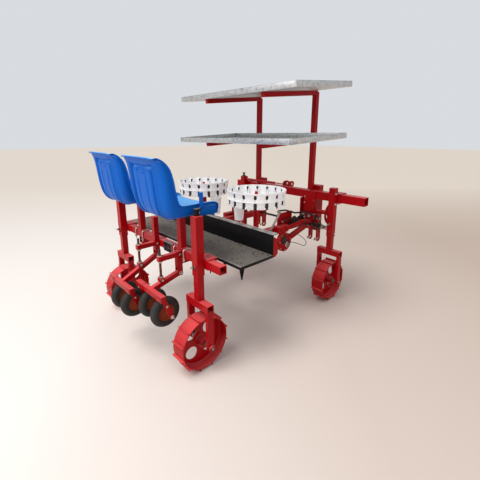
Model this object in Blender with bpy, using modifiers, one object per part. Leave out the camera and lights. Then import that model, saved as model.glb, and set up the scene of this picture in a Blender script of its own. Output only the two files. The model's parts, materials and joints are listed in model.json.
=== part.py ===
# Two-row seedling transplanter for a tractor's three-point hitch.
# Metres, +Z up. +X is the direction of travel, +Y the machine's left side.
# The design coordinates have X = 0 at the rear face of the rear beam, Y = 0 on the
# centre line of the rows and Z = 0 on the floor. PLACE moves them so that the world
# origin is at the middle of the bounding box, on the floor.

import math

import bmesh
import bpy
from mathutils import Matrix, Vector

# Clearances
SEAT_GAP = 0.0003            # between faces that rest on each other
SLIDE_GAP = 0.0005           # between telescoping tubes
OVERRUN = 0.01               # how far a cutter runs past what it cuts
SINK = 0.002                 # how deep welded pieces run into each other

# Rear beam: square tube across the back
REAR_TUBE = 0.056
REAR_WALL = 0.005
REAR_TOP = 0.796
REAR_HALF = 0.782

# Clamps that hold the legs to the beams
CLAMP_HALF = 0.062
CLAMP_THICK = 0.008
CLAMP_PAST = 0.026           # how far a clamp stands past its beam

# Front beam: square tube across the front, longer to the right
FRONT_TUBE = 0.077
FRONT_WALL = 0.006
FRONT_REAR_X = 1.511
FRONT_TOP = 1.053
FRONT_RIGHT = 0.957
FRONT_LEFT = 0.70

# Rails from beam to beam, with plates up to the front beam
RAIL_Y = 0.30
RAIL_WIDE = 0.06
RAIL_TALL = 0.06
RAIL_WALL = 0.004
RAIL_PLATE = 0.012
RAIL_PLATE_LONG = 0.115
WEB_REAR = 1.085
WEB_FRONT = 1.30
WEB_TOP = 0.87

# Telescopic legs
SLEEVE = 0.060
SLEEVE_WALL = 0.0045
LEG = 0.050
LEG_WALL = 0.004
REAR_LEG_INSET = 0.189       # from the rear beam's end to the leg's middle
REAR_LEG_Y = REAR_HALF - REAR_LEG_INSET
REAR_SLEEVE_TOP = 1.099
REAR_SLEEVE_FOOT = 0.69
FRONT_LEG_RIGHT_Y = 0.665
FRONT_LEG_LEFT_Y = 0.545
FRONT_SLEEVE_TOP = 1.116
FRONT_SLEEVE_FOOT = 0.64
LEG_HIDDEN = 0.20            # length of the inner tube inside its sleeve
SLEEVE_CAP = 0.006
LOCK_HEAD = 0.022
LOCK_HEAD_TALL = 0.010
LOCK_UP = 0.045

# Crank on the rear right leg, stay rod from the front left leg
COLLAR_RADIUS = 0.018
COLLAR_TALL = 0.046
CRANK_REACH_X = 0.052
CRANK_REACH_Y = 0.018
CRANK_HALF_WIDE = 0.009
CRANK_THICK = 0.007
GRIP_RADIUS = 0.0135
GRIP_TALL = 0.100
STAY_RADIUS = 0.012
STAY_DROP = 0.031            # from the sleeve's top to the stay's middle
STAY_END = 0.06
STAY_ROD_RADIUS = 0.006
STAY_ROD_LONG = 0.12

# Wheel fork under each leg
FORK_TUBE = 0.053
FORK_WALL = 0.005
FORK_WIDE = 0.247
FORK_TOP = 0.512
FORK_ARM_THICK = 0.028
FORK_ARM_LONG = 0.048
AXLE_RADIUS = 0.0125
NUT_RADIUS = 0.021
NUT_TALL = 0.014

# Drum wheel with cross bars
DRUM_RADIUS = 0.186
DRUM_WALL = 0.006
DRUM_WIDE = 0.124
LUGS = 12
LUG_TALL = 0.017
LUG_THICK = 0.008
DISC_THICK = 0.006
DISC_OFFSET = 0.012
DISC_HOLES = 4
DISC_HOLE_RADIUS = 0.036
DISC_HOLE_CIRCLE = 0.108
HUB_RADIUS = 0.034
HUB_WIDE = 0.110
HUB_BORE = AXLE_RADIUS + SLIDE_GAP
LUG_PHASE = math.pi / LUGS
LUG_TIP_RADIUS = DRUM_RADIUS + LUG_TALL
LUG_TIP_TURN = math.asin(LUG_THICK / 2 / LUG_TIP_RADIUS)
AXLE_Z = LUG_TIP_RADIUS * math.cos(LUG_PHASE - LUG_TIP_TURN)

# Platform where the crew rest their feet, with its kickplate
PLATFORM_REAR = 0.149
PLATFORM_FRONT = 0.466
PLATFORM_HALF = 0.811
PLATFORM_TOP = 0.761
PLATFORM_SHEET = 0.004
PLATFORM_LIP = 0.004
KICK_THICK = 0.004
KICK_TOP = 0.912
KICK_FLANGE = 0.022
KICK_GUSSET = (
    # X ahead of the kickplate's rear face, Z
    (0.053, 0.865), (0.056, 0.787), (0.025, 0.749),
)

# Seats on posts that stand on the rear beam
SEAT_Y = 0.315
SEAT_POST = 0.048
SEAT_PLATE = 0.18
SEAT_PLATE_THICK = 0.006
SEAT_SHELL = 0.006
SEAT_PAN_BOTTOM = 1.059
SEAT_POST_FOOT = 0.11
SEAT_GROOVE = 0.009
SEAT_STATIONS = (
    # middle X and Z, side edge X and Z, half width; X from the seat post's middle
    (0.158, 1.082, 0.124, 1.092, 0.170),
    (0.148, 1.108, 0.132, 1.128, 0.192),
    (0.107, 1.106, 0.100, 1.158, 0.212),
    (0.042, 1.088, 0.032, 1.174, 0.222),
    (-0.028, 1.074, -0.038, 1.178, 0.225),
    (-0.086, 1.064, -0.100, 1.180, 0.225),
    (-0.158, 1.080, -0.153, 1.184, 0.225),
    (-0.200, 1.110, -0.178, 1.196, 0.225),
    (-0.228, 1.150, -0.200, 1.216, 0.225),
    (-0.253, 1.215, -0.218, 1.248, 0.223),
    (-0.267, 1.285, -0.233, 1.300, 0.220),
    (-0.278, 1.375, -0.254, 1.375, 0.214),
    (-0.287, 1.445, -0.274, 1.440, 0.202),
    (-0.300, 1.482, -0.298, 1.474, 0.172),
)
SEAT_COLUMNS = (
    # place across from middle to side, share of the side's lift, share of the groove's depth
    (0.0, 0.0, 0.0), (0.24, 0.0, 0.0), (0.37, 0.02, 1.0), (0.50, 0.06, 0.0),
    (0.72, 0.22, 0.0), (0.88, 0.60, 0.0), (1.0, 1.0, 0.0),
)
SEAT_GROOVE_FIRST = 6        # first and last station with the full groove
SEAT_GROOVE_LAST = 11

# Press wheels: hanger, arm and a pair of tyres for each row
HANGER = 0.040
BRACKET = 0.034
BRACKET_REACH = 0.165
ROD_RADIUS = 0.008
ARM = 0.034
PRESS_CROSS = 0.036
PRESS_CROSS_LONG = 0.36
STRAP_THICK = 0.008
STRAP_WIDE = 0.036
STRAP_TOP_SHARE = 0.4        # radius of a strap's upper end over the cross tube's size
PRESS_AXLE_RADIUS = 0.009
TYRE_RADIUS = 0.109
TYRE_WIDE = 0.062
TYRE_RIM_RADIUS = 0.056
TYRE_OFFSET = 0.085
RIM_WIDE = 0.050
TYRE_CROWN_SHARE = 0.5       # depth of the round tread over the tyre's width
TYRE_BEAD_SHARE = 0.8        # width at the bead over the tyre's width
PRESS_UNITS = (
    # name, middle Y, hanger top Z, hinge Z, cross tube X, cross tube Z, axle X, axle Z
    ("right", -0.335, 0.79, 0.625, -0.256, 0.560, -0.200, 0.415),
    ("left", -0.012, 0.982, 0.672, -0.324, 0.520, -0.270, 0.380),
)

# Cup carousels over the rows
CAROUSEL_X = 0.745
CAROUSEL_Y = 0.37
CAROUSEL_TOP = 1.155
CAROUSEL_TALL = 0.130
CAROUSEL_RADIUS = 0.250
CUPS = 16
CUP_INNER = 0.155
CUP_WALL = 0.004
CUP_SLOT = 0.012
CAROUSEL_RING_OVER = 0.003
CAROUSEL_RING_TALL = 0.006
CAROUSEL_RING_INNER = 0.140
CAROUSEL_SPOKE = 0.022
CAROUSEL_HUB = 0.040
SPINDLE_RADIUS = 0.014
STAND_RADIUS = 0.024
STAND_FOOT = 0.14
STAND_FOOT_THICK = 0.010
STAND_EDGE_SHARE = 1.5       # foot plate past the column's middle over the column's radius

# Funnel below each carousel
FUNNEL_X = 0.735
FUNNEL_Y = 0.165
FUNNEL_TOP = 1.010
FUNNEL_FOOT = 0.848
FUNNEL_TOP_RADIUS = 0.056
FUNNEL_FOOT_RADIUS = 0.038
FUNNEL_WALL = 0.003
FUNNEL_TAB = 0.045
FUNNEL_TAB_THICK = 0.004

# Planting rotors and their bills
ROTOR_X = 0.72
ROTOR_Z = 0.60
ROTOR_RADIUS = 0.165
ROTOR_PLATE_Y = 0.256
ROTOR_PLATE = 0.010
ROTOR_HUB = 0.045
ROTOR_HUB_SHARE = 1.6        # hub's thickness over the arms'
ROTOR_ARM_WIDE = 0.042
BILLS = 3
BILL_Y = 0.165
BILL_ABOVE = 0.045
BILL_BELOW = 0.205
BILL_NECK_DROP = 0.08        # from the pin to the neck where the jaws start
BILL_NECK_RADIUS = 0.030
BILL_SLIT = 0.002
BILL_GAPE = 0.022            # how far an open jaw's tip stands out
BILL_TOP_RADIUS = 0.040
BILL_WALL = 0.0035
BILL_TIP_HALF = 0.006
BILL_CUP_DEEP = 0.09
PIN_RADIUS = 0.009
BOSS_RADIUS = 0.018
BOSS_PROUD = 0.016           # boss past the bill's cup
PIN_SEAT = 0.012             # length of a pin inside its boss
BILL_SHOULDER_SHARE = 0.95   # width at the shoulder over the cup's
TIP_LONG_SHARE = 0.8         # tip along the row over the tip across it
ROTOR_ARM_HUB_SHARE = 0.6    # arm's round inner end over its width
ROTOR_SHAFT_RADIUS = 0.0125
ROTOR_PHASES = (
    # name, side, angle of the lowest bill from straight down
    ("right", -1, math.radians(18)),
    ("left", 1, math.radians(-18)),
)
BEARING_PLATE = 0.012
BEARING_WIDE = 0.11

# Chain case from the drive shaft to the rotor
CASE_THICK = 0.034
CASE_Y = 0.385
CASE_SHAFT_RADIUS = 0.050
CASE_MIDDLE_X = 1.11
CASE_MIDDLE_Z = 0.605
CASE_MIDDLE_RADIUS = 0.092
CASE_ROTOR_RADIUS = 0.060
CASE_NECK = 0.026
CASE_NECK_SHARE = 0.8        # necks' thickness over the housings'

# Cable that hangs in a loop from the right chain case
CABLE_RADIUS = 0.003
CABLE_STEPS = 3              # points read from the smooth curve for each stretch of the route
CABLE_ROUTE = (
    # X, Y, Z in the design coordinates, from the case's face and back to it
    (1.137, -0.4029, 0.672), (1.137, -0.417, 0.672), (1.148, -0.429, 0.680), (1.175, -0.434, 0.687),
    (1.215, -0.434, 0.678), (1.260, -0.434, 0.659), (1.310, -0.434, 0.631), (1.360, -0.434, 0.597),
    (1.399, -0.434, 0.563), (1.417, -0.434, 0.533), (1.402, -0.434, 0.510), (1.368, -0.434, 0.514),
    (1.320, -0.434, 0.537), (1.270, -0.434, 0.560), (1.220, -0.434, 0.581), (1.182, -0.430, 0.594),
    (1.153, -0.417, 0.600), (1.153, -0.4029, 0.600),
)

# Drive shaft with its sprockets
DRIVE_X = 1.50
DRIVE_Z = 0.71
DRIVE_RADIUS = 0.0125
DRIVE_RIGHT = 0.625
DRIVE_LEFT = 0.415
SPROCKETS = (
    # middle Y, radius, thickness
    (-0.520, 0.044, 0.014),
    (-0.470, 0.030, 0.036),
    (-0.342, 0.040, 0.020),
    (-0.205, 0.050, 0.014),
    (0.342, 0.040, 0.020),
)

# Three-point hitch
HEAD_Y = 0.388
HEAD_DEEP = 0.070
HEAD_WIDE = 0.110
HEAD_TOP = 1.10
HEAD_FOOT = 0.625
SADDLE_HALF = 0.070
SADDLE_THICK = 0.012
SADDLE_FOOT = 0.815
GUARD_RADIUS = 0.105
GUARD_THICK = 0.008
GUARD_X = 1.54
GUARD_Y = 0.612
GUARD_Z = 0.85
GUARD_STUB = 0.022
GUARD_SLOTS = 3
GUARD_SLOT_INNER = 0.058
GUARD_SLOT_OUTER = 0.078
GUARD_SLOT_HALF = math.radians(34)
EAR_THICK = 0.012
EAR_WIDE = 0.066
EAR_PIN_Z = 0.535
EAR_PIN_RADIUS = 0.0145
TOP_EAR_REACH = 0.11
TOP_EAR_APART = 0.055
TOP_EAR_TOP = 1.14
TOP_EAR_FOOT = 0.99

# Tray posts and trays
POST = 0.046
POST_X = 1.545
POST_Y = 0.367
POST_TOP = 1.992
TRAY_HALF = 0.733
TRAY_LONG = 0.785
TRAY_DEEP = 0.0465
TRAY_SHEET = 0.003
TRAY_ARM = 0.040
TRAY_ARM_REAR = 0.80
TRAYS = (
    # name, rear edge X, rear top Z, rise to the front
    ("upper", 0.757, 1.973, 0.076),
    ("lower", 0.728, 1.571, 0.046),
)

X_REAR_MOST = PRESS_UNITS[1][6] - TYRE_RADIUS
X_FRONT_MOST = FRONT_REAR_X + FRONT_TUBE + SEAT_GAP + TOP_EAR_REACH
Y_MIDDLE = (PLATFORM_HALF - FRONT_RIGHT) / 2
PLACE = Vector((-(X_REAR_MOST + X_FRONT_MOST) / 2, -Y_MIDDLE, 0.0))

AXIS_TURN = {
    "x": Matrix.Rotation(math.pi / 2, 4, "Y"),
    "y": Matrix.Rotation(math.pi / 2, 4, "X"),
    "z": Matrix.Identity(4),
}


def clear_scene():
    for obj in list(bpy.data.objects):
        bpy.data.objects.remove(obj, do_unlink=True)


def new_collection(name):
    made = bpy.data.collections.new(name)
    bpy.context.scene.collection.children.link(made)
    return made


clear_scene()
PARTS = new_collection("seedling_transplanter")


def material(name, color, roughness, metallic=0.0):
    made = bpy.data.materials.new(name)
    made.use_nodes = True
    shader = made.node_tree.nodes["Principled BSDF"]
    shader.inputs["Base Color"].default_value = (*color, 1.0)
    shader.inputs["Roughness"].default_value = roughness
    shader.inputs["Metallic"].default_value = metallic
    return made


RED = material("red_paint", (0.55, 0.015, 0.02), 0.35)
BLUE = material("blue_plastic", (0.02, 0.16, 0.55), 0.35)
WHITE = material("white_plastic", (0.80, 0.79, 0.80), 0.45)
ZINC = material("galvanised_sheet", (0.55, 0.56, 0.57), 0.40, 0.9)
BLACK = material("black_paint", (0.012, 0.012, 0.014), 0.40)
DUSTY = material("dusty_plate", (0.20, 0.18, 0.16), 0.80)
RUBBER = material("rubber", (0.015, 0.015, 0.015), 0.85)
ORANGE = material("orange_rim", (0.45, 0.07, 0.02), 0.55)
STEEL = material("bare_steel", (0.45, 0.44, 0.42), 0.40, 0.9)


def from_bmesh(shape, name="piece"):
    """Turn a bmesh into an object of the parts collection."""
    bmesh.ops.recalc_face_normals(shape, faces=shape.faces)
    mesh = bpy.data.meshes.new(name)
    shape.to_mesh(mesh)
    shape.free()
    obj = bpy.data.objects.new(name, mesh)
    PARTS.objects.link(obj)
    return obj


def box(low, high):
    """A block between two corners."""
    low, high = Vector(low), Vector(high)
    size = high - low
    shape = bmesh.new()
    bmesh.ops.create_cube(shape, size=1.0)
    bmesh.ops.scale(shape, vec=size, verts=shape.verts)
    bmesh.ops.translate(shape, vec=(low + high) / 2, verts=shape.verts)
    return from_bmesh(shape)


def cylinder(centre, radius, length, axis="y", sides=12, top_radius=None):
    """A round bar or cone about its middle, along a named axis."""
    shape = bmesh.new()
    bmesh.ops.create_cone(
        shape, cap_ends=True, segments=sides, radius1=radius,
        radius2=radius if top_radius is None else top_radius, depth=length)
    bmesh.ops.transform(shape, matrix=Matrix.Translation(centre) @ AXIS_TURN[axis], verts=shape.verts)
    return from_bmesh(shape)


def bar_between(start, end, wide, tall):
    """A rectangular bar whose middle line runs from start to end in an XZ plane."""
    start, end = Vector(start), Vector(end)
    along = end - start
    shape = bmesh.new()
    bmesh.ops.create_cube(shape, size=1.0)
    bmesh.ops.scale(shape, vec=(along.length, wide, tall), verts=shape.verts)
    turn = Matrix.Rotation(-math.atan2(along.z, along.x), 4, "Y")
    bmesh.ops.transform(shape, matrix=Matrix.Translation((start + end) / 2) @ turn, verts=shape.verts)
    return from_bmesh(shape)


def prism(points, low, high, plane="xy"):
    """An outline pushed from low to high across its plane."""
    shape = bmesh.new()
    corner = {
        "xy": lambda a, b, c: (a, b, c),
        "xz": lambda a, b, c: (a, c, b),
        "yz": lambda a, b, c: (c, a, b),
    }[plane]
    face = shape.faces.new([shape.verts.new(corner(a, b, low)) for a, b in points])
    pushed = bmesh.ops.extrude_face_region(shape, geom=[face])
    moved = [item for item in pushed["geom"] if isinstance(item, bmesh.types.BMVert)]
    bmesh.ops.translate(shape, vec=corner(0.0, 0.0, high - low), verts=moved)
    return from_bmesh(shape)


def tongue(x, z_round, radius, z_flat, low, high, steps=8):
    """A flat bar in an XZ plane with one round end about z_round and one flat end."""
    way = 1 if z_round > z_flat else -1
    points = []
    for index in range(steps + 1):
        angle = math.pi * index / steps
        points.append((x + radius * math.cos(angle), z_round + way * radius * math.sin(angle)))
    points += [(x - radius, z_flat), (x + radius, z_flat)]
    return prism(points, low, high, "xz")


def link(x0, z0, radius0, x1, z1, radius1, low, high, steps=6):
    """A flat bar in an XZ plane with round ends about two places."""
    along = math.atan2(z1 - z0, x1 - x0)
    spread = math.acos((radius0 - radius1) / math.hypot(x1 - x0, z1 - z0))
    points = []
    for x, z, radius, start, sweep in (
            (x0, z0, radius0, along + spread, 2 * math.pi - 2 * spread),
            (x1, z1, radius1, along - spread, 2 * spread)):
        for index in range(steps + 1):
            angle = start + sweep * index / steps
            points.append((x + radius * math.cos(angle), z + radius * math.sin(angle)))
    return prism(points, low, high, "xz")


def turned(profile, steps, axis="y"):
    """A closed ring profile of (radius, offset) pairs turned about an axis."""
    shape = bmesh.new()
    verts = [shape.verts.new((radius, 0.0, offset)) for radius, offset in profile]
    edges = [shape.edges.new((verts[i], verts[(i + 1) % len(verts)])) for i in range(len(verts))]
    bmesh.ops.spin(
        shape, geom=verts + edges, cent=(0.0, 0.0, 0.0), axis=(0.0, 0.0, 1.0),
        angle=2 * math.pi, steps=steps, use_merge=True)
    bmesh.ops.remove_doubles(shape, verts=shape.verts, dist=SEAT_GAP / 10)
    bmesh.ops.transform(shape, matrix=AXIS_TURN[axis], verts=shape.verts)
    return from_bmesh(shape)


def moved(obj, offset):
    obj.data.transform(Matrix.Translation(offset))
    return obj


def boolean(target, tool, operation):
    """Join or cut a piece with another one, which is used up."""
    modifier = target.modifiers.new(operation.lower(), "BOOLEAN")
    modifier.operation = operation
    modifier.solver = "EXACT"
    modifier.object = tool
    bpy.context.view_layer.update()
    graph = bpy.context.evaluated_depsgraph_get()
    mesh = bpy.data.meshes.new_from_object(target.evaluated_get(graph))
    target.modifiers.clear()
    old = target.data
    target.data = mesh
    bpy.data.meshes.remove(old)
    bpy.data.objects.remove(tool, do_unlink=True)


def weld(target, *tools):
    for tool in tools:
        boolean(target, tool, "UNION")
    return target


def cut(target, *tools):
    for tool in tools:
        boolean(target, tool, "DIFFERENCE")
    return target


def finish(obj, name, paint, smooth=False, pivot=None):
    """Name a piece, paint it and place it, with its origin on its pivot if it has one."""
    obj.name = name
    obj.data.name = name
    obj.data.materials.clear()
    obj.data.materials.append(paint)
    if smooth:
        obj.data.shade_smooth()
        obj.data.set_sharp_from_angle(angle=math.radians(35))
    centre = Vector(pivot) if pivot else Vector((0.0, 0.0, 0.0))
    obj.data.transform(Matrix.Translation(-centre))
    obj.location = centre + PLACE
    return obj


def square_tube_y(x, z, size, wall, start, end):
    """A hollow square tube across the machine, open at both ends; x and z are its middle."""
    outer = box((x - size / 2, start, z - size / 2), (x + size / 2, end, z + size / 2))
    inside = size / 2 - wall
    hole = box((x - inside, start - OVERRUN, z - inside), (x + inside, end + OVERRUN, z + inside))
    return cut(outer, hole)


def square_tube_z(x, y, size, wall, foot, top, lid=0.0):
    """A hollow square tube that stands up, open at the foot, and at the top if it has no lid."""
    outer = box((x - size / 2, y - size / 2, foot), (x + size / 2, y + size / 2, top))
    inside = size / 2 - wall
    end = top - lid if lid else top + OVERRUN
    hole = box((x - inside, y - inside, foot - OVERRUN), (x + inside, y + inside, end))
    return cut(outer, hole)


# Frame

def clamp_legs(beam, rear, front, foot, top, places):
    """Weld the plates and the cross bar of each leg's clamp to a beam."""
    past = front + CLAMP_PAST
    for y in places:
        low, high = y - CLAMP_HALF, y + CLAMP_HALF
        weld(beam, box((rear + SINK, low, top - SINK), (past, high, top + CLAMP_THICK)),
             box((rear + SINK, low, foot - CLAMP_THICK), (past, high, foot + SINK)),
             box((past - CLAMP_THICK - SINK, low + SINK, foot - SINK), (past - SINK, high - SINK, top + SINK)))


def make_beams():
    foot = REAR_TOP - REAR_TUBE
    rear = square_tube_y(REAR_TUBE / 2, REAR_TOP - REAR_TUBE / 2, REAR_TUBE, REAR_WALL, -REAR_HALF, REAR_HALF)
    clamp_legs(rear, 0.0, REAR_TUBE, foot, REAR_TOP, (-REAR_LEG_Y, REAR_LEG_Y))
    finish(rear, "rear_beam", RED)
    front_mid = FRONT_REAR_X + FRONT_TUBE / 2
    front = square_tube_y(
        front_mid, FRONT_TOP - FRONT_TUBE / 2, FRONT_TUBE, FRONT_WALL, -FRONT_RIGHT, FRONT_LEFT)
    clamp_legs(front, FRONT_REAR_X, FRONT_REAR_X + FRONT_TUBE, FRONT_TOP - FRONT_TUBE, FRONT_TOP,
               (-FRONT_LEG_RIGHT_Y, FRONT_LEG_LEFT_Y))
    finish(front, "front_beam", RED)


RAIL_TOP = REAR_TOP - REAR_TUBE - SEAT_GAP
RAIL_FOOT = RAIL_TOP - RAIL_TALL


def rotor_bearing(y):
    """The plate that hangs from a rail and carries the rotor's shaft."""
    half = BEARING_PLATE / 2
    plate = tongue(ROTOR_X, ROTOR_Z, BEARING_WIDE / 2, RAIL_FOOT + SINK, y - half, y + half)
    return cut(plate, cylinder((ROTOR_X, y, ROTOR_Z), ROTOR_SHAFT_RADIUS + SLIDE_GAP, BEARING_PLATE + OVERRUN))


def make_rail(side, name):
    y = side * RAIL_Y
    front = FRONT_REAR_X + FRONT_TUBE
    outer = box((0.0, y - RAIL_WIDE / 2, RAIL_FOOT), (front, y + RAIL_WIDE / 2, RAIL_TOP))
    inside = RAIL_WIDE / 2 - RAIL_WALL
    cut(outer, box((-OVERRUN, y - inside, RAIL_FOOT + RAIL_WALL),
                   (front + OVERRUN, y + inside, RAIL_TOP - RAIL_WALL)))
    beam_foot = FRONT_TOP - FRONT_TUBE - SEAT_GAP
    plate = box((front - RAIL_PLATE_LONG, y - RAIL_PLATE / 2, RAIL_TOP - SINK),
                (front, y + RAIL_PLATE / 2, beam_foot))
    edge = y + side * (RAIL_WIDE - RAIL_PLATE) / 2
    web = box((WEB_REAR, edge - RAIL_PLATE / 2 + SINK, RAIL_TOP - SINK),
              (WEB_FRONT, edge + RAIL_PLATE / 2 - SINK, WEB_TOP))
    weld(outer, plate, web)
    cut(outer, cylinder((DRIVE_X, y, DRIVE_Z), DRIVE_RADIUS + 2 * SLIDE_GAP, RAIL_WIDE + 2 * OVERRUN))
    finish(weld(outer, rotor_bearing(y)), name, RED)


def make_platform():
    low = RAIL_TOP + SEAT_GAP
    deck = box((PLATFORM_REAR, -PLATFORM_HALF, low), (PLATFORM_FRONT, PLATFORM_HALF, PLATFORM_TOP))
    cut(deck, box(
        (PLATFORM_REAR + PLATFORM_LIP, -PLATFORM_HALF + PLATFORM_LIP, low - OVERRUN),
        (PLATFORM_FRONT - PLATFORM_LIP, PLATFORM_HALF - PLATFORM_LIP, PLATFORM_TOP - PLATFORM_SHEET)))
    finish(deck, "platform", DUSTY)
    x = PLATFORM_FRONT + SEAT_GAP
    wall = box((x, -PLATFORM_HALF, low), (x + KICK_THICK, PLATFORM_HALF, KICK_TOP))
    flange = box((x, -PLATFORM_HALF, KICK_TOP - KICK_THICK), (x + KICK_FLANGE, PLATFORM_HALF, KICK_TOP))
    weld(wall, flange)
    for edge, inward in ((-PLATFORM_HALF, 1), (PLATFORM_HALF, -1)):
        inner = edge + inward * KICK_THICK
        outline = [(x + SINK, KICK_TOP - SINK), *((x + ahead, z) for ahead, z in KICK_GUSSET), (x + SINK, low + SINK)]
        weld(wall, prism(outline, min(edge, inner), max(edge, inner), "xz"))
    finish(wall, "kickplate", BLACK)


# Legs and wheels

REAR_LEG_X = -SEAT_GAP - SLEEVE / 2
FRONT_LEG_X = FRONT_REAR_X - SEAT_GAP - SLEEVE / 2
LEGS = (
    # name, X, Y, sleeve foot, sleeve top
    ("rear_right", REAR_LEG_X, -REAR_LEG_Y, REAR_SLEEVE_FOOT, REAR_SLEEVE_TOP),
    ("rear_left", REAR_LEG_X, REAR_LEG_Y, REAR_SLEEVE_FOOT, REAR_SLEEVE_TOP),
    ("front_right", FRONT_LEG_X, -FRONT_LEG_RIGHT_Y, FRONT_SLEEVE_FOOT, FRONT_SLEEVE_TOP),
    ("front_left", FRONT_LEG_X, FRONT_LEG_LEFT_Y, FRONT_SLEEVE_FOOT, FRONT_SLEEVE_TOP),
)


def make_sleeve(name, x, y, foot, top):
    tube = square_tube_z(x, y, SLEEVE, SLEEVE_WALL, foot, top, SLEEVE_CAP)
    head_x = x - SLEEVE / 2 - LOCK_HEAD_TALL / 2 + SINK / 2
    weld(tube, cylinder((head_x, y, foot + LOCK_UP), LOCK_HEAD / 2, LOCK_HEAD_TALL + SINK, "x", 6))
    if name == "front_left":
        z = top - STAY_DROP
        inner = y - SLEEVE / 2 + SINK
        rod_end = STAY_END - STAY_ROD_LONG
        weld(tube, cylinder((x, (inner + STAY_END) / 2, z), STAY_RADIUS, inner - STAY_END),
             cylinder((x, (STAY_END + rod_end) / 2 + SINK, z), STAY_ROD_RADIUS, STAY_ROD_LONG + 2 * SINK, "y", 8))
    finish(tube, "leg_sleeve_" + name, RED)


def make_crank():
    """The collar and arm that turn the rear right leg's screw, and the grip on the arm."""
    name, x, y, foot, top = LEGS[0]
    base = top + SEAT_GAP
    collar = cylinder((x, y, base + COLLAR_TALL / 2), COLLAR_RADIUS, COLLAR_TALL, "z")
    along = Vector((CRANK_REACH_X, CRANK_REACH_Y))
    end = Vector((x, y)) + along
    across = Vector((-along.y, along.x)).normalized() * CRANK_HALF_WIDE
    past = end + along.normalized() * CRANK_HALF_WIDE
    start = Vector((x, y))
    outline = [start - across, past - across, past + across, start + across]
    arm_top = base + COLLAR_TALL - SINK
    arm = prism([tuple(point) for point in outline], arm_top - CRANK_THICK, arm_top)
    finish(weld(collar, arm), "crank_" + name, BLACK)
    grip_foot = arm_top + SEAT_GAP
    grip = cylinder((end.x, end.y, grip_foot + GRIP_TALL / 2), GRIP_RADIUS, GRIP_TALL, "z")
    finish(grip, "crank_grip_" + name, BLUE)


def make_fork(name, x, y, foot):
    leg = square_tube_z(x, y, LEG, LEG_WALL, FORK_TOP - SINK, foot + LEG_HIDDEN)
    cross_z = FORK_TOP - FORK_TUBE / 2
    start, end = y - FORK_WIDE / 2, y + FORK_WIDE / 2
    cross = square_tube_y(x, cross_z, FORK_TUBE, FORK_WALL, start, end)
    weld(cross, leg)
    for edge, inward in ((start, 1), (end, -1)):
        outer = edge + inward * SINK
        inner = outer + inward * FORK_ARM_THICK
        weld(cross, tongue(x, AXLE_Z, FORK_ARM_LONG / 2, FORK_TOP - FORK_TUBE + SINK,
                           min(outer, inner), max(outer, inner)))
    weld(cross, cylinder((x, y, AXLE_Z), AXLE_RADIUS, FORK_WIDE + 2 * NUT_TALL))
    for outward, edge in ((-1, start), (1, end)):
        weld(cross, cylinder((x, edge + outward * NUT_TALL / 2, AXLE_Z), NUT_RADIUS, NUT_TALL, "y", 6))
    finish(cross, "wheel_fork_" + name, RED)


def drum_outline():
    """The drum's tread with its cross bars, seen from the side."""
    points = []
    for index in range(LUGS):
        middle = index * 2 * math.pi / LUGS + LUG_PHASE - math.pi / 2
        edge = math.asin(LUG_THICK / 2 / DRUM_RADIUS)
        pitch = 2 * math.pi / LUGS
        for radius, angle in (
                (DRUM_RADIUS, middle - edge), (LUG_TIP_RADIUS, middle - LUG_TIP_TURN),
                (LUG_TIP_RADIUS, middle + LUG_TIP_TURN), (DRUM_RADIUS, middle + edge),
                (DRUM_RADIUS, middle + pitch / 2)):
            points.append((radius * math.cos(angle), radius * math.sin(angle)))
    return points


def make_wheel(name, x, y):
    half = DRUM_WIDE / 2
    inner = DRUM_RADIUS - DRUM_WALL
    wheel = prism(drum_outline(), -half, half, "xz")
    cut(wheel, cylinder((0.0, 0.0, 0.0), inner, DRUM_WIDE + 2 * OVERRUN, "y", 2 * LUGS))
    disc = cylinder((0.0, DISC_OFFSET, 0.0), inner + SINK, DISC_THICK, "y", 2 * LUGS)
    for index in range(DISC_HOLES):
        angle = (index + 0.5) * 2 * math.pi / DISC_HOLES
        spot = (DISC_HOLE_CIRCLE * math.cos(angle), DISC_OFFSET, DISC_HOLE_CIRCLE * math.sin(angle))
        cut(disc, cylinder(spot, DISC_HOLE_RADIUS, DISC_THICK + 2 * OVERRUN, "y", 9))
    weld(wheel, disc)
    weld(wheel, cylinder((0.0, 0.0, 0.0), HUB_RADIUS, HUB_WIDE))
    cut(wheel, cylinder((0.0, 0.0, 0.0), HUB_BORE, HUB_WIDE + 2 * OVERRUN))
    centre = Vector((x, y, AXLE_Z))
    finish(moved(wheel, centre), "drum_wheel_" + name, RED, pivot=centre)


# Seats

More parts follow.
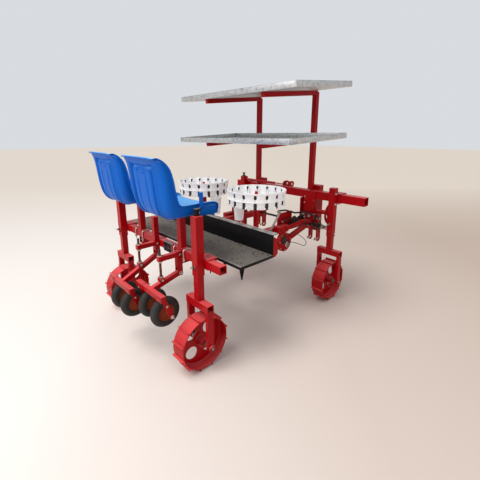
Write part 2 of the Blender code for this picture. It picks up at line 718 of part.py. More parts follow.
def make_seat(name, side):
    columns = [(-place, lift, groove) for place, lift, groove in SEAT_COLUMNS[:0:-1]] + list(SEAT_COLUMNS)
    shape = bmesh.new()
    rows = []
    for index, (middle_x, middle_z, edge_x, edge_z, half) in enumerate(SEAT_STATIONS):
        fade = max(SEAT_GROOVE_FIRST - index, index - SEAT_GROOVE_LAST, 0)
        deep = SEAT_GROOVE * max(0.0, 1.0 - fade / 2)
        rows.append([
            shape.verts.new((middle_x + lift * (edge_x - middle_x) + groove * deep, place * half,
                             middle_z + lift * (edge_z - middle_z)))
            for place, lift, groove in columns])
    for row, other in zip(rows, rows[1:]):
        for index in range(len(columns) - 1):
            shape.faces.new((row[index], row[index + 1], other[index + 1], other[index]))
    shell = from_bmesh(shape)
    thick = shell.modifiers.new("thickness", "SOLIDIFY")
    thick.thickness = SEAT_SHELL
    thick.offset = 0.0
    graph = bpy.context.evaluated_depsgraph_get()
    solid = bpy.data.meshes.new_from_object(shell.evaluated_get(graph))
    shell.modifiers.clear()
    shell.data = solid
    reach = SEAT_PLATE / 2
    low = min(vert.co.z for vert in solid.vertices if abs(vert.co.x) < SEAT_PLATE)
    moved(shell, (REAR_TUBE / 2, side * SEAT_Y, SEAT_PAN_BOTTOM + SEAT_GAP - low))
    finish(shell, "seat_" + name, BLUE, smooth=True)
    x, y = REAR_TUBE / 2, side * SEAT_Y
    post = box((x - SEAT_POST / 2, y - SEAT_POST / 2, REAR_TOP + SEAT_GAP),
               (x + SEAT_POST / 2, y + SEAT_POST / 2, SEAT_PAN_BOTTOM - SEAT_PLATE_THICK + SINK))
    plate = box((x - reach, y - reach, SEAT_PAN_BOTTOM - SEAT_PLATE_THICK), (x + reach, y + reach, SEAT_PAN_BOTTOM))
    foot = REAR_TOP + SEAT_GAP
    half = SEAT_POST_FOOT / 2
    sole = box((0.0, y - half, foot), (REAR_TUBE, y + half, foot + SEAT_PLATE_THICK))
    weld(post, plate, sole)
    finish(post, "seat_post_" + name, RED)


# Press wheels

HINGE_X = -SEAT_GAP - HANGER / 2


def make_press_hanger(name, y, top, hinge, cross_x, cross_z):
    hanger = box((HINGE_X - HANGER / 2, y - HANGER / 2, hinge - HANGER / 2),
                 (HINGE_X + HANGER / 2, y + HANGER / 2, top))
    bracket_z = REAR_TOP - REAR_TUBE / 2
    reach = HINGE_X - BRACKET_REACH
    bracket = box((reach, y - BRACKET / 2, bracket_z - BRACKET / 2),
                  (HINGE_X, y + BRACKET / 2, bracket_z + BRACKET / 2))
    weld(hanger, bracket)
    slot = ARM / 2 + SLIDE_GAP
    cut(hanger, box((HINGE_X - HANGER, y - slot, hinge - HANGER), (HINGE_X + HANGER, y + slot, hinge + HANGER)))
    weld(hanger, cylinder((HINGE_X, y, hinge), PIN_RADIUS, HANGER + NUT_TALL))
    x = reach + BRACKET / 2
    slope = (hinge - cross_z) / (HINGE_X - cross_x)
    arm_top = hinge + slope * (x - HINGE_X) + ARM / 2 * math.sqrt(1 + slope * slope)
    foot = arm_top + ROD_RADIUS * slope + SEAT_GAP
    rod_top = bracket_z - BRACKET / 2 + SINK
    weld(hanger, cylinder((x, y, (foot + rod_top) / 2), ROD_RADIUS, rod_top - foot, "z"))
    finish(hanger, "press_hanger_" + name, RED)


def make_press_arm(name, y, hinge, cross_x, cross_z, axle_x, axle_z):
    arm = bar_between((HINGE_X, y, hinge), (cross_x, y, cross_z), ARM, ARM)
    cut(arm, cylinder((HINGE_X, y, hinge), PIN_RADIUS + SLIDE_GAP, HANGER))
    half = PRESS_CROSS_LONG / 2
    size = PRESS_CROSS / 2
    weld(arm, box((cross_x - size, y - half, cross_z - size), (cross_x + size, y + half, cross_z + size)))
    for side in (-1, 1):
        middle = y + side * (half - STRAP_THICK / 2 - SINK)
        strap = link(cross_x, cross_z, PRESS_CROSS * STRAP_TOP_SHARE, axle_x, axle_z, STRAP_WIDE / 2,
                     middle - STRAP_THICK / 2, middle + STRAP_THICK / 2)
        cut(strap, cylinder((axle_x, middle, axle_z), PRESS_AXLE_RADIUS + SLIDE_GAP, STRAP_THICK + OVERRUN))
        weld(arm, strap)
    finish(arm, "press_arm_" + name, RED)


def make_press_wheels(name, y, axle_x, axle_z):
    centre = Vector((axle_x, y, axle_z))
    half = TYRE_WIDE / 2
    round_part = TYRE_WIDE * TYRE_CROWN_SHARE
    profile = [(TYRE_RIM_RADIUS, -half * TYRE_BEAD_SHARE), (TYRE_RIM_RADIUS, half * TYRE_BEAD_SHARE)]
    crown = TYRE_RADIUS - round_part
    for index in range(5):
        angle = math.pi / 2 - index * math.pi / 4
        profile.append((crown + round_part * math.cos(angle), half * math.sin(angle)))
    axle = cylinder((0.0, 0.0, 0.0), PRESS_AXLE_RADIUS, PRESS_CROSS_LONG + 2 * NUT_TALL, "y", 8)
    for side, letter in ((-1, "right"), (1, "left")):
        tyre = turned(profile, 24)
        offset = Vector((0.0, side * TYRE_OFFSET, 0.0))
        finish(moved(tyre, centre + offset), "press_tyre_%s_%s" % (name, letter), RUBBER, True, centre)
        weld(axle, cylinder(offset, TYRE_RIM_RADIUS - SEAT_GAP, RIM_WIDE, "y", 24))
    finish(moved(axle, centre), "press_axle_" + name, ORANGE, True, centre)


# Carousels, funnels and their stands

def sector(inner, outer, middle, half_gap, half_angle, steps):
    """The outline of one cup: a ring sector whose straight sides stay a fixed gap from the next cup."""
    points = []
    for radius, order in ((outer, 1), (inner, -1)):
        edge = half_angle - half_gap / radius
        for index in range(steps + 1):
            angle = middle + order * edge * (2 * index / steps - 1)
            points.append((radius * math.cos(angle), radius * math.sin(angle)))
    return points


def make_carousel(name, side):
    foot = CAROUSEL_TOP - CAROUSEL_TALL
    middle = CAROUSEL_TOP - CAROUSEL_TALL / 2
    half_angle = math.pi / CUPS
    ring_outer = CAROUSEL_RADIUS + CAROUSEL_RING_OVER
    ring = cylinder((0.0, 0.0, middle), ring_outer, CAROUSEL_RING_TALL, "z", 3 * CUPS)
    cut(ring, cylinder((0.0, 0.0, middle), CAROUSEL_RING_INNER, CAROUSEL_RING_TALL + OVERRUN, "z", 2 * CUPS))
    for index in range(CUPS):
        angle = 2 * half_angle * index
        weld(ring, prism(sector(CUP_INNER, CAROUSEL_RADIUS, angle, CUP_SLOT / 2, half_angle, 1),
                         foot, CAROUSEL_TOP))
    for index in range(CUPS):
        angle = 2 * half_angle * index
        pocket = sector(CUP_INNER + CUP_WALL, CAROUSEL_RADIUS - CUP_WALL, angle,
                        CUP_SLOT / 2 + CUP_WALL, half_angle, 1)
        cut(ring, prism(pocket, foot + CUP_WALL, CAROUSEL_TOP + OVERRUN))
    spokes = cylinder((0.0, 0.0, middle), CAROUSEL_HUB, CAROUSEL_TALL / 2, "z")
    for index in range(3):
        turn = Matrix.Rotation(index * math.pi / 3, 4, "Z")
        reach = CUP_INNER + CUP_WALL / 2
        spoke = box((-reach, -CAROUSEL_SPOKE / 2, middle - CAROUSEL_RING_TALL),
                    (reach, CAROUSEL_SPOKE / 2, middle + CAROUSEL_RING_TALL / 3))
        spoke.data.transform(turn)
        weld(spokes, spoke)
    weld(ring, spokes)
    cut(ring, cylinder((0.0, 0.0, middle), SPINDLE_RADIUS + SLIDE_GAP, CAROUSEL_TALL, "z"))
    centre = Vector((CAROUSEL_X, side * CAROUSEL_Y, 0.0))
    finish(moved(ring, centre), "carousel_" + name, WHITE, pivot=centre)


def make_stand(name, side):
    """Spindle, foot plate on the rail and the arm under the funnel's tab."""
    y = side * CAROUSEL_Y
    hub_foot = CAROUSEL_TOP - 3 * CAROUSEL_TALL / 4
    base = RAIL_TOP + SEAT_GAP
    rail_edge = side * (RAIL_Y - RAIL_WIDE / 2)
    outer_edge = y + side * STAND_RADIUS * STAND_EDGE_SHARE
    foot = box((CAROUSEL_X - STAND_FOOT / 2, min(rail_edge, outer_edge), base),
               (CAROUSEL_X + STAND_FOOT / 2, max(rail_edge, outer_edge), base + STAND_FOOT_THICK))
    top = hub_foot - SEAT_GAP
    column = cylinder((CAROUSEL_X, y, (base + top) / 2 + SINK / 2), STAND_RADIUS, top - base - SINK, "z")
    spindle_top = CAROUSEL_TOP - CAROUSEL_TALL / 4 + OVERRUN
    spindle = cylinder((CAROUSEL_X, y, (top + spindle_top) / 2), SPINDLE_RADIUS, spindle_top - top + 2 * SINK,
                       "z")
    arm_top = FUNNEL_TOP - FUNNEL_TAB_THICK - SEAT_GAP
    inner_y = side * (FUNNEL_Y + FUNNEL_TOP_RADIUS + SLIDE_GAP)
    arm = box((CAROUSEL_X - FUNNEL_TAB / 2, min(inner_y, y), arm_top - STAND_FOOT_THICK),
              (CAROUSEL_X + FUNNEL_TAB / 2, max(inner_y, y), arm_top))
    finish(weld(foot, column, spindle, arm), "carousel_stand_" + name, RED)


def make_funnel(name, side):
    tall = FUNNEL_TOP - FUNNEL_FOOT
    middle = (FUNNEL_X, side * FUNNEL_Y, (FUNNEL_TOP + FUNNEL_FOOT) / 2)
    cone = cylinder(middle, FUNNEL_FOOT_RADIUS, tall, "z", 24, FUNNEL_TOP_RADIUS)
    tab_start = side * FUNNEL_Y
    tab_end = side * (CAROUSEL_Y - STAND_RADIUS - SEAT_GAP)
    tab = box((FUNNEL_X - FUNNEL_TAB / 2, min(tab_start, tab_end), FUNNEL_TOP - FUNNEL_TAB_THICK),
              (FUNNEL_X + FUNNEL_TAB / 2, max(tab_start, tab_end), FUNNEL_TOP))
    weld(cone, tab)
    slope = (FUNNEL_TOP_RADIUS - FUNNEL_FOOT_RADIUS) / tall
    reach = tall + 2 * OVERRUN
    bore = cylinder(middle, FUNNEL_FOOT_RADIUS - FUNNEL_WALL - slope * OVERRUN, reach, "z", 24,
                    FUNNEL_TOP_RADIUS - FUNNEL_WALL + slope * OVERRUN)
    finish(cut(cone, bore), "funnel_" + name, WHITE, True)


# Planting rotors

def bill_places(phase):
    """Angles of a rotor's bills, measured from straight down."""
    return [phase + index * 2 * math.pi / BILLS for index in range(BILLS)]


def bill_pin(angle):
    return (ROTOR_X + ROTOR_RADIUS * math.sin(angle), ROTOR_Z - ROTOR_RADIUS * math.cos(angle))


BOSS_OUT = BILL_Y + BILL_TOP_RADIUS + BOSS_PROUD


def make_rotor(name, side, phase):
    y = side * ROTOR_PLATE_Y
    rotor = cylinder((ROTOR_X, y, ROTOR_Z), ROTOR_HUB, ROTOR_PLATE * ROTOR_HUB_SHARE, "y", 20)
    for angle in bill_places(phase):
        x, z = bill_pin(angle)
        weld(rotor, link(ROTOR_X, ROTOR_Z, ROTOR_ARM_WIDE * ROTOR_ARM_HUB_SHARE, x, z, ROTOR_ARM_WIDE / 2,
                         y - ROTOR_PLATE / 2, y + ROTOR_PLATE / 2))
        inner = side * (BOSS_OUT - PIN_SEAT)
        weld(rotor, cylinder((x, (y + inner) / 2, z), PIN_RADIUS, abs(y - inner), "y", 8))
    shaft_end = side * (CASE_Y + CASE_THICK / 2)
    shaft_start = side * (ROTOR_PLATE_Y - ROTOR_PLATE)
    weld(rotor, cylinder((ROTOR_X, (shaft_start + shaft_end) / 2, ROTOR_Z), ROTOR_SHAFT_RADIUS,
                         abs(shaft_end - shaft_start), "y", 12))
    finish(rotor, "rotor_" + name, STEEL, pivot=(ROTOR_X, y, ROTOR_Z))


def ring_body(rings):
    """A closed body through rings of equally many points."""
    shape = bmesh.new()
    rings = [[shape.verts.new(point) for point in ring] for ring in rings]
    count = len(rings[0])
    for upper, lower in zip(rings, rings[1:]):
        for index in range(count):
            other = (index + 1) % count
            shape.faces.new((upper[index], upper[other], lower[other], lower[index]))
    shape.faces.new(rings[0])
    shape.faces.new(rings[-1])
    return from_bmesh(shape)


def make_bill(name, side, x, z, gape):
    """A bill: a round cup that narrows to a neck, two jaws below it, and its pivot boss."""
    y = side * BILL_Y
    top, foot = z + BILL_ABOVE, z - BILL_BELOW
    shoulder, neck = z - BILL_ABOVE, z - BILL_NECK_DROP
    sides = 12
    bill = ring_body([
        [(x + half_x * math.cos(angle), y + half_y * math.sin(angle), height)
         for angle in (2 * math.pi * index / sides for index in range(sides))]
        for height, half_x, half_y in (
            (top, BILL_TOP_RADIUS, BILL_TOP_RADIUS),
            (shoulder, BILL_TOP_RADIUS, BILL_TOP_RADIUS * BILL_SHOULDER_SHARE),
            (neck, BILL_NECK_RADIUS, BILL_NECK_RADIUS))])
    cut(bill, cylinder((x, y, top - BILL_CUP_DEEP / 2 + OVERRUN / 2), BILL_TOP_RADIUS - 4 * BILL_WALL,
                       BILL_CUP_DEEP + OVERRUN, "z", 12, BILL_TOP_RADIUS - BILL_WALL))
    for way in (-1, 1):
        flat = way * BILL_SLIT / 2
        jaw = ring_body([
            [(x + flat + way * (shift + half_x * math.cos(angle)), y + half_y * math.sin(angle), height)
             for angle in (math.pi * (index / 6 - 1 / 2) for index in range(7))]
            for height, half_x, half_y, shift in (
                (neck + 2 * SINK, BILL_NECK_RADIUS - SINK, BILL_NECK_RADIUS - SINK, 0.0),
                (foot, BILL_TIP_HALF * TIP_LONG_SHARE, BILL_TIP_HALF, gape))])
        weld(bill, jaw)
    boss_start = y + side * (BILL_TOP_RADIUS - 3 * BILL_WALL)
    boss_end = side * BOSS_OUT
    boss = cylinder((x, (boss_start + boss_end) / 2, z), BOSS_RADIUS, abs(boss_end - boss_start), "y", 12)
    weld(bill, boss)
    bore_start = side * (BOSS_OUT - PIN_SEAT - 2 * SLIDE_GAP)
    bore_end = side * (BOSS_OUT + OVERRUN)
    cut(bill, cylinder((x, (bore_start + bore_end) / 2, z), PIN_RADIUS + 2 * SLIDE_GAP,
                       abs(bore_end - bore_start)))
    finish(bill, name, BLACK, pivot=(x, y, z))


def make_case(name, side):
    """Flat chain case with a large round housing at its middle."""
    y = side * CASE_Y
    stations = (
        (DRIVE_X, DRIVE_Z, CASE_SHAFT_RADIUS),
        (CASE_MIDDLE_X, CASE_MIDDLE_Z, CASE_MIDDLE_RADIUS),
        (ROTOR_X, ROTOR_Z, CASE_ROTOR_RADIUS),
    )
    case = None
    for x, z, radius in stations:
        drum = cylinder((x, y, z), radius, CASE_THICK, "y", 24)
        case = weld(case, drum) if case else drum
    for (x0, z0, r0), (x1, z1, r1) in zip(stations, stations[1:]):
        weld(case, bar_between((x0, y, z0), (x1, y, z1), CASE_THICK * CASE_NECK_SHARE, 2 * CASE_NECK))
    for x, z, bore in ((DRIVE_X, DRIVE_Z, DRIVE_RADIUS), (ROTOR_X, ROTOR_Z, ROTOR_SHAFT_RADIUS)):
        cut(case, cylinder((x, y, z), bore + SLIDE_GAP, CASE_THICK + 2 * OVERRUN))
    finish(case, "chain_case_" + name, RED)


def make_cable():
    """The cable's tube, along a smooth curve through its route."""
    route = [Vector(point) for point in CABLE_ROUTE]
    padded = [2 * route[0] - route[1], *route, 2 * route[-1] - route[-2]]
    line = []
    for a, b, c, d in zip(padded, padded[1:], padded[2:], padded[3:]):
        for step in range(CABLE_STEPS):
            t = step / CABLE_STEPS
            line.append(0.5 * (2 * b + (c - a) * t + (2 * a - 5 * b + 4 * c - d) * t ** 2
                               + (3 * b - a - 3 * c + d) * t ** 3))
    line.append(route[-1])
    curve = bpy.data.curves.new("cable_loop", "CURVE")
    curve.dimensions = "3D"
    curve.bevel_depth = CABLE_RADIUS
    curve.bevel_resolution = 2
    curve.use_fill_caps = True
    spline = curve.splines.new("POLY")
    spline.points.add(len(line) - 1)
    for point, place in zip(spline.points, line):
        point.co = (*place, 1.0)
    curve.materials.append(RUBBER)
    cable = bpy.data.objects.new("cable_loop", curve)
    cable.location = PLACE
    PARTS.objects.link(cable)


def make_drive():
    length = DRIVE_RIGHT + DRIVE_LEFT
    shaft = cylinder((DRIVE_X, (DRIVE_LEFT - DRIVE_RIGHT) / 2, DRIVE_Z), DRIVE_RADIUS, length)
    for y, radius, thick in SPROCKETS:
        weld(shaft, cylinder((DRIVE_X, y, DRIVE_Z), radius, thick))
    finish(shaft, "drive_shaft", STEEL)


# Hitch

def make_hitch(name, side):
    x = FRONT_REAR_X + FRONT_TUBE + SEAT_GAP
    y = side * HEAD_Y
    head = box((x, y - HEAD_WIDE / 2, HEAD_FOOT), (x + HEAD_DEEP, y + HEAD_WIDE / 2, HEAD_TOP))
    for way in (-1, 1):
        middle = y + way * ((HEAD_WIDE - EAR_THICK) / 2 - SINK)
        ear_x = x + HEAD_DEEP / 2
        ear = tongue(ear_x, EAR_PIN_Z, EAR_WIDE / 2, HEAD_FOOT + SINK,
                     middle - EAR_THICK / 2, middle + EAR_THICK / 2)
        cut(ear, cylinder((ear_x, middle, EAR_PIN_Z), EAR_PIN_RADIUS, EAR_THICK + OVERRUN, "y"))
        weld(head, ear)
    beam_foot = FRONT_TOP - FRONT_TUBE - SEAT_GAP
    rear = FRONT_REAR_X - SEAT_GAP
    low, high = y - SADDLE_HALF, y + SADDLE_HALF
    weld(head, box((rear, low, SADDLE_FOOT), (x + SADDLE_THICK, high, beam_foot)),
         box((rear - SADDLE_THICK, low + SINK, SADDLE_FOOT + SINK), (rear, high - SINK, FRONT_TOP - SINK)))
    if side < 0:
        inner = low + SINK
        weld(head, cylinder((GUARD_X, (inner - GUARD_Y) / 2, GUARD_Z), GUARD_STUB, inner + GUARD_Y))
        disc = cylinder((GUARD_X, -GUARD_Y, GUARD_Z), GUARD_RADIUS, GUARD_THICK, "y", 28)
        for index in range(GUARD_SLOTS):
            middle = math.pi + index * 2 * math.pi / GUARD_SLOTS
            slot = sector(GUARD_SLOT_INNER, GUARD_SLOT_OUTER, middle, 0.0, GUARD_SLOT_HALF, 4)
            cut(disc, prism([(GUARD_X + across, GUARD_Z + up) for across, up in slot],
                            -GUARD_Y - GUARD_THICK, -GUARD_Y + GUARD_THICK, "xz"))
        weld(head, disc)
    finish(head, "hitch_leg_" + name, RED)


def make_top_hitch():
    x = FRONT_REAR_X + FRONT_TUBE + SEAT_GAP
    half = TOP_EAR_APART / 2
    base = box((x, -half - EAR_THICK, TOP_EAR_FOOT), (x + EAR_THICK, half + EAR_THICK, FRONT_TOP))
    middle_z = (TOP_EAR_FOOT + TOP_EAR_TOP) / 2
    for way in (-1, 1):
        y = way * (half + EAR_THICK / 2)
        reach = x + TOP_EAR_REACH - EAR_WIDE / 2
        ear = link(x + EAR_WIDE / 2, middle_z, EAR_WIDE / 2, reach, middle_z, EAR_WIDE / 2,
                   y - EAR_THICK / 2, y + EAR_THICK / 2)
        cut(ear, cylinder((reach, y, middle_z), EAR_PIN_RADIUS, EAR_THICK + OVERRUN, "y"))
        weld(base, ear)
    finish(base, "top_hitch", RED)


# Tray posts and trays

def tray_angle(rise):
    return math.asin(rise / TRAY_LONG)


def make_tray(name, rear_x, rear_top, rise):
    tilt = Matrix.Rotation(-tray_angle(rise), 4, "Y")
    pan = box((0.0, -TRAY_HALF, -TRAY_DEEP), (TRAY_LONG, TRAY_HALF, 0.0))
    cut(pan, box((TRAY_SHEET, -TRAY_HALF + TRAY_SHEET, -TRAY_DEEP + TRAY_SHEET),
                 (TRAY_LONG - TRAY_SHEET, TRAY_HALF - TRAY_SHEET, OVERRUN)))
    pan.data.transform(Matrix.Translation((rear_x, 0.0, rear_top)) @ tilt)
    finish(pan, "tray_" + name, ZINC)


def make_post(name, side):
    y = side * POST_Y
    half = POST / 2
    post = box((POST_X - half, y - half, FRONT_TOP + SEAT_GAP), (POST_X + half, y + half, POST_TOP))
    for tray, rear_x, rear_top, rise in TRAYS:
        angle = tray_angle(rise)
        reach = (POST_X - rear_x) / math.cos(angle)
        start = (TRAY_ARM_REAR - rear_x) / math.cos(angle)
        foot = -TRAY_DEEP - SEAT_GAP
        arm = box((start, y - TRAY_ARM / 2, foot - TRAY_ARM), (reach, y + TRAY_ARM / 2, foot))
        arm.data.transform(Matrix.Translation((rear_x, 0.0, rear_top)) @ Matrix.Rotation(-angle, 4, "Y"))
        weld(post, arm)
    finish(post, "tray_post_" + name, RED)


def build():
    make_beams()
    for name, side in (("right", -1), ("left", 1)):
        make_rail(side, "rail_" + name)
        make_seat(name, side)
        make_carousel(name, side)
        make_stand(name, side)
        make_funnel(name, side)
        make_case(name, side)
        make_hitch(name, side)
        make_post(name, side)
    make_platform()
    for name, x, y, foot, top in LEGS:
        make_sleeve(name, x, y, foot, top)
        make_fork(name, x, y, foot)
        make_wheel(name, x, y)
    for name, y, top, hinge, cross_x, cross_z, axle_x, axle_z in PRESS_UNITS:
        make_press_hanger(name, y, top, hinge, cross_x, cross_z)
        make_press_arm(name, y, hinge, cross_x, cross_z, axle_x, axle_z)
        make_press_wheels(name, y, axle_x, axle_z)
    for name, side, phase in ROTOR_PHASES:
        make_rotor(name, side, phase)
        for index, angle in enumerate(bill_places(phase)):
            x, z = bill_pin(angle)
            gape = BILL_GAPE if name == "left" and index == 0 else 0.0
            make_bill("bill_%s_%d" % (name, index + 1), side, x, z, gape)
    make_crank()
    make_cable()
    make_drive()
    make_top_hitch()
    for tray in TRAYS:
        make_tray(*tray)


build()
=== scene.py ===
"""Looks of a two-row seedling transplanter: finishes, plastics, wheels, small fittings and the stage.

Metres, +Z up, +X the direction of travel, +Y the machine's left side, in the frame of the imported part.
"""

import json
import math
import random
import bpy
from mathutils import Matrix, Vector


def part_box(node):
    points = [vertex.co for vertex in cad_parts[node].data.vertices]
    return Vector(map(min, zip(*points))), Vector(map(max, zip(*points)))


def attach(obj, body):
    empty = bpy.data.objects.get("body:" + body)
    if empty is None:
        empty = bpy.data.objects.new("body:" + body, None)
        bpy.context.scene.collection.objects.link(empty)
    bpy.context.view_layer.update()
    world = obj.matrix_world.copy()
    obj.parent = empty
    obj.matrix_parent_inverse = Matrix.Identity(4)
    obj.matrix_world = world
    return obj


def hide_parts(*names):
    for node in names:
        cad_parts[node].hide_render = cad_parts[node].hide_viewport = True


bl_info = {
    "name": "Seedling Transplanter Looks",
    "version": (1, 0, 0),
    "blender": (4, 5, 0),
    "location": "View3D > Sidebar > Transplanter",
    "description": "Dresses the frame of a seedling transplanter with its finishes and small pieces",
    "category": "Object",
}

import bmesh
import bpy
from bpy.props import FloatProperty, FloatVectorProperty, IntProperty, PointerProperty
from mathutils import Matrix, Vector

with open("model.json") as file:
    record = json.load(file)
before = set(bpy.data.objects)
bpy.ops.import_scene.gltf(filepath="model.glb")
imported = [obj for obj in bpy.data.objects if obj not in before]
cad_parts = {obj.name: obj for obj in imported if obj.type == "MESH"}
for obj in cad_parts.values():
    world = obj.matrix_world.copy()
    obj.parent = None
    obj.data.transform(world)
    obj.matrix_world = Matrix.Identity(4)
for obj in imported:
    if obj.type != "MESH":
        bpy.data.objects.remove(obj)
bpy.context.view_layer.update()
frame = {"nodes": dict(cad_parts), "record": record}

NODES = frame["nodes"]
ROOT = "frame"
ROWS = ("right", "left")
WAYS = (-1, 1)
SIDES = tuple(zip(ROWS, WAYS))
AXIS_X = Vector((1.0, 0.0, 0.0))
AXIS_Y = Vector((0.0, 1.0, 0.0))
AXIS_Z = Vector((0.0, 0.0, 1.0))


def middle_of(node):
    low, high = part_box(node)
    return (low + high) / 2


# The design's zero: rear face of the rear beam, centre line of the rows, floor
ORIGIN = Vector((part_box("rear_beam")[0].x, middle_of("rear_beam").y, 0.0))


def at(x, y, z):
    """A place measured from the rear beam, the centre line and the floor."""
    return ORIGIN + Vector((x, y, z))


def x_at(x):
    return at(x, 0.0, 0.0).x


def y_at(y):
    return at(0.0, y, 0.0).y


# Settings that a user would change

def colour_setting(name, description, value):
    return FloatVectorProperty(
        name=name, description=description, subtype="COLOR", size=3, min=0.0, max=1.0, default=value)


def length_setting(name, description, value):
    return FloatProperty(name=name, description=description, unit="LENGTH", min=0.0, default=value)


def plain_setting(name, description, value):
    return FloatProperty(name=name, description=description, min=0.0, default=value)


class TransplanterColours(bpy.types.PropertyGroup):
    red: colour_setting("Red paint", "Gloss paint of the frame and the wheels", (0.40, 0.003, 0.006))
    blue: colour_setting("Blue plastic", "Moulded plastic of the seats and grips", (0.001, 0.112, 0.52))
    white: colour_setting("White plastic", "Moulded plastic of the cups and funnels", (0.93, 0.93, 0.935))
    zinc: colour_setting("Galvanised sheet", "Zinc coat of the trays", (0.52, 0.53, 0.53))
    black: colour_setting("Black paint", "Paint of the kickplate and the bills", (0.007, 0.007, 0.0075))
    plate: colour_setting("Deck plate", "Chequer plate under its dust", (0.125, 0.112, 0.100))
    dust: colour_setting("Dust", "Dry soil that lies on the machine", (0.36, 0.29, 0.22))
    rubber: colour_setting("Rubber", "Tyres and cable", (0.014, 0.014, 0.013))
    orange: colour_setting("Rim paint", "Paint of the press wheels' rims", (0.23, 0.036, 0.008))
    steel: colour_setting("Bare steel", "Shafts, rods and bolts", (0.38, 0.36, 0.33))


class SeatSettings(bpy.types.PropertyGroup):
    thick: length_setting("Wall", "Wall of the moulded shell", 0.005)
    groove: length_setting("Groove", "Depth of the two grooves in the back", 0.042)
    panel: length_setting("Panel", "How far the back's middle panel lies in", 0.005)
    rim: length_setting("Rim", "Depth of the rim that rolls over the shell's edge", 0.016)


class CarouselSettings(bpy.types.PropertyGroup):
    cups: IntProperty(name="Cups", description="Cups in one carousel", min=6, default=16)
    wall: length_setting("Wall", "Wall of a cup", 0.0028)
    gap: length_setting("Gap", "Widest gap between two cups", 0.023)
    inner: length_setting("Inner radius", "Radius of the cups' inner walls", 0.155)
    band: length_setting("Band", "Height of the rings that tie the cups together", 0.008)


class WheelSettings(bpy.types.PropertyGroup):
    lug: length_setting("Lug", "Height of the cross bars over the drum", 0.017)
    lug_thick: length_setting("Lug thickness", "Thickness of the cross bars", 0.006)
    lugs: IntProperty(name="Lugs", description="Cross bars on one drum", min=4, default=12)
    tread: length_setting("Tread groove", "Depth of the ribs on the tyres", 0.0022)


class StageSettings(bpy.types.PropertyGroup):
    floor: colour_setting("Floor", "Colour of the plain floor", (0.66, 0.55, 0.485))
    key: plain_setting("Key lamp", "Power of the large lamp, in watts", 90.0)
    sun: plain_setting("Sun", "Strength of the hazy sun", 1.5)
    sky: plain_setting("Sky", "Strength of the soft light all round", 0.55)
    lens: plain_setting("Lens", "Focal length, in millimetres", 23.65)


# Places and sizes that several pieces share

LEGS = ("rear_right", "rear_left", "front_right", "front_left")
DRUM_RADIUS = 0.186
DRUM_AXLE_Z = 0.1969
DECK_LITTER = (
    # count, least half size, greatest half size, flatness, narrowness, share of dark ones
    (420, 0.002, 0.0065, 0.45, 0.5, 0.70),
    (44, 0.007, 0.019, 0.08, 0.22, 0.95),
)
BEAM_HALF = 0.028
SLEEVE_HALF = 0.030
BRACE_Y = (-0.210, -0.100)
PRESS_HANGER = 0.040
PRESS_BRACKET = 0.034
PRESS_CROSS = 0.036
PRESS_ARM = 0.034
PRESS_ROD = 0.008
PRESS_PIVOT_HALF = (0.017, 0.022, 0.013)
PRESS_UNITS = {
    # hinge Z, cross tube X, cross tube Z
    "right": (0.625, -0.256, 0.560),
    "left": (0.672, -0.324, 0.520),
}
CASE_X, CASE_Z = 1.110, 0.605
HEAD_Y = 0.388
GUARD = (1.540, -0.612, 0.850)
SPROCKETS = (
    # Y, radius, teeth, thickness
    (-0.520, 0.045, 18, 0.007), (-0.470, 0.031, 12, 0.007), (-0.342, 0.041, 16, 0.007),
    (-0.205, 0.049, 20, 0.007), (0.342, 0.041, 16, 0.007),
)
DRIVE_LEVERS = (
    # radius, points of a bent greasy lever from the chain case to the head
    (0.0085, ((1.075, -0.342, 0.905), (1.170, -0.352, 0.898), (1.286, -0.372, 0.857),
              (1.400, -0.385, 0.845), (1.440, -0.450, 0.832), (1.442, -0.560, 0.806))),
    (0.0070, ((1.125, -0.350, 0.792), (1.227, -0.358, 0.806), (1.350, -0.366, 0.770),
              (1.440, -0.425, 0.712))),
)
CABLE_RADIUS = 0.003
CABLE_STEPS = 3
CABLE_ROUTE = (
    (1.137, -0.4029, 0.672), (1.137, -0.417, 0.672), (1.148, -0.429, 0.680), (1.175, -0.434, 0.687),
    (1.215, -0.434, 0.678), (1.260, -0.434, 0.659), (1.310, -0.434, 0.631), (1.360, -0.434, 0.597),
    (1.399, -0.434, 0.563), (1.417, -0.434, 0.533), (1.402, -0.434, 0.510), (1.368, -0.434, 0.514),
    (1.320, -0.434, 0.537), (1.270, -0.434, 0.560), (1.220, -0.434, 0.581), (1.182, -0.430, 0.594),
    (1.153, -0.417, 0.600), (1.153, -0.4029, 0.600),
)

# Mesh helpers

def to_object(name, shape, finishes, smooth):
    """An object from a bmesh, with its faces outward and its sharp edges marked."""
    bmesh.ops.recalc_face_normals(shape, faces=shape.faces)
    mesh = bpy.data.meshes.new(name)
    shape.to_mesh(mesh)
    shape.free()
    for finish in finishes:
        mesh.materials.append(FINISHES[finish])
    mesh.shade_smooth()
    if smooth:
        mesh.set_sharp_from_angle(angle=math.radians(smooth))
    obj = bpy.data.objects.new(name, mesh)
    bpy.context.scene.collection.objects.link(obj)
    return obj


def settle(obj, body, slot, *replaced):
    """Bind a piece to its body, and let it stand for nodes; slot is not used."""
    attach(obj, body)
    if replaced:
        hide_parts(*replaced)


def make_piece(name, shape, finishes, body, slot, *replaced, smooth=35.0):
    """Make an object from a bmesh and settle it."""
    obj = to_object(name, shape, finishes, smooth)
    settle(obj, body, slot, *replaced)
    return obj


def frame_of(axis):
    """A rotation that turns +Z to an axis."""
    return Vector(axis).to_track_quat("Z", "Y").to_matrix().to_4x4()


def turned_to(first, second, third):
    """A rotation whose columns are three directions."""
    return Matrix((first, second, third)).transposed().to_4x4()


def paint_faces(verts, slot):
    """Give the faces around some vertices a material slot, and tell which they are."""
    faces = {face for vert in verts for face in vert.link_faces}
    for face in faces:
        face.material_index = slot
    return faces


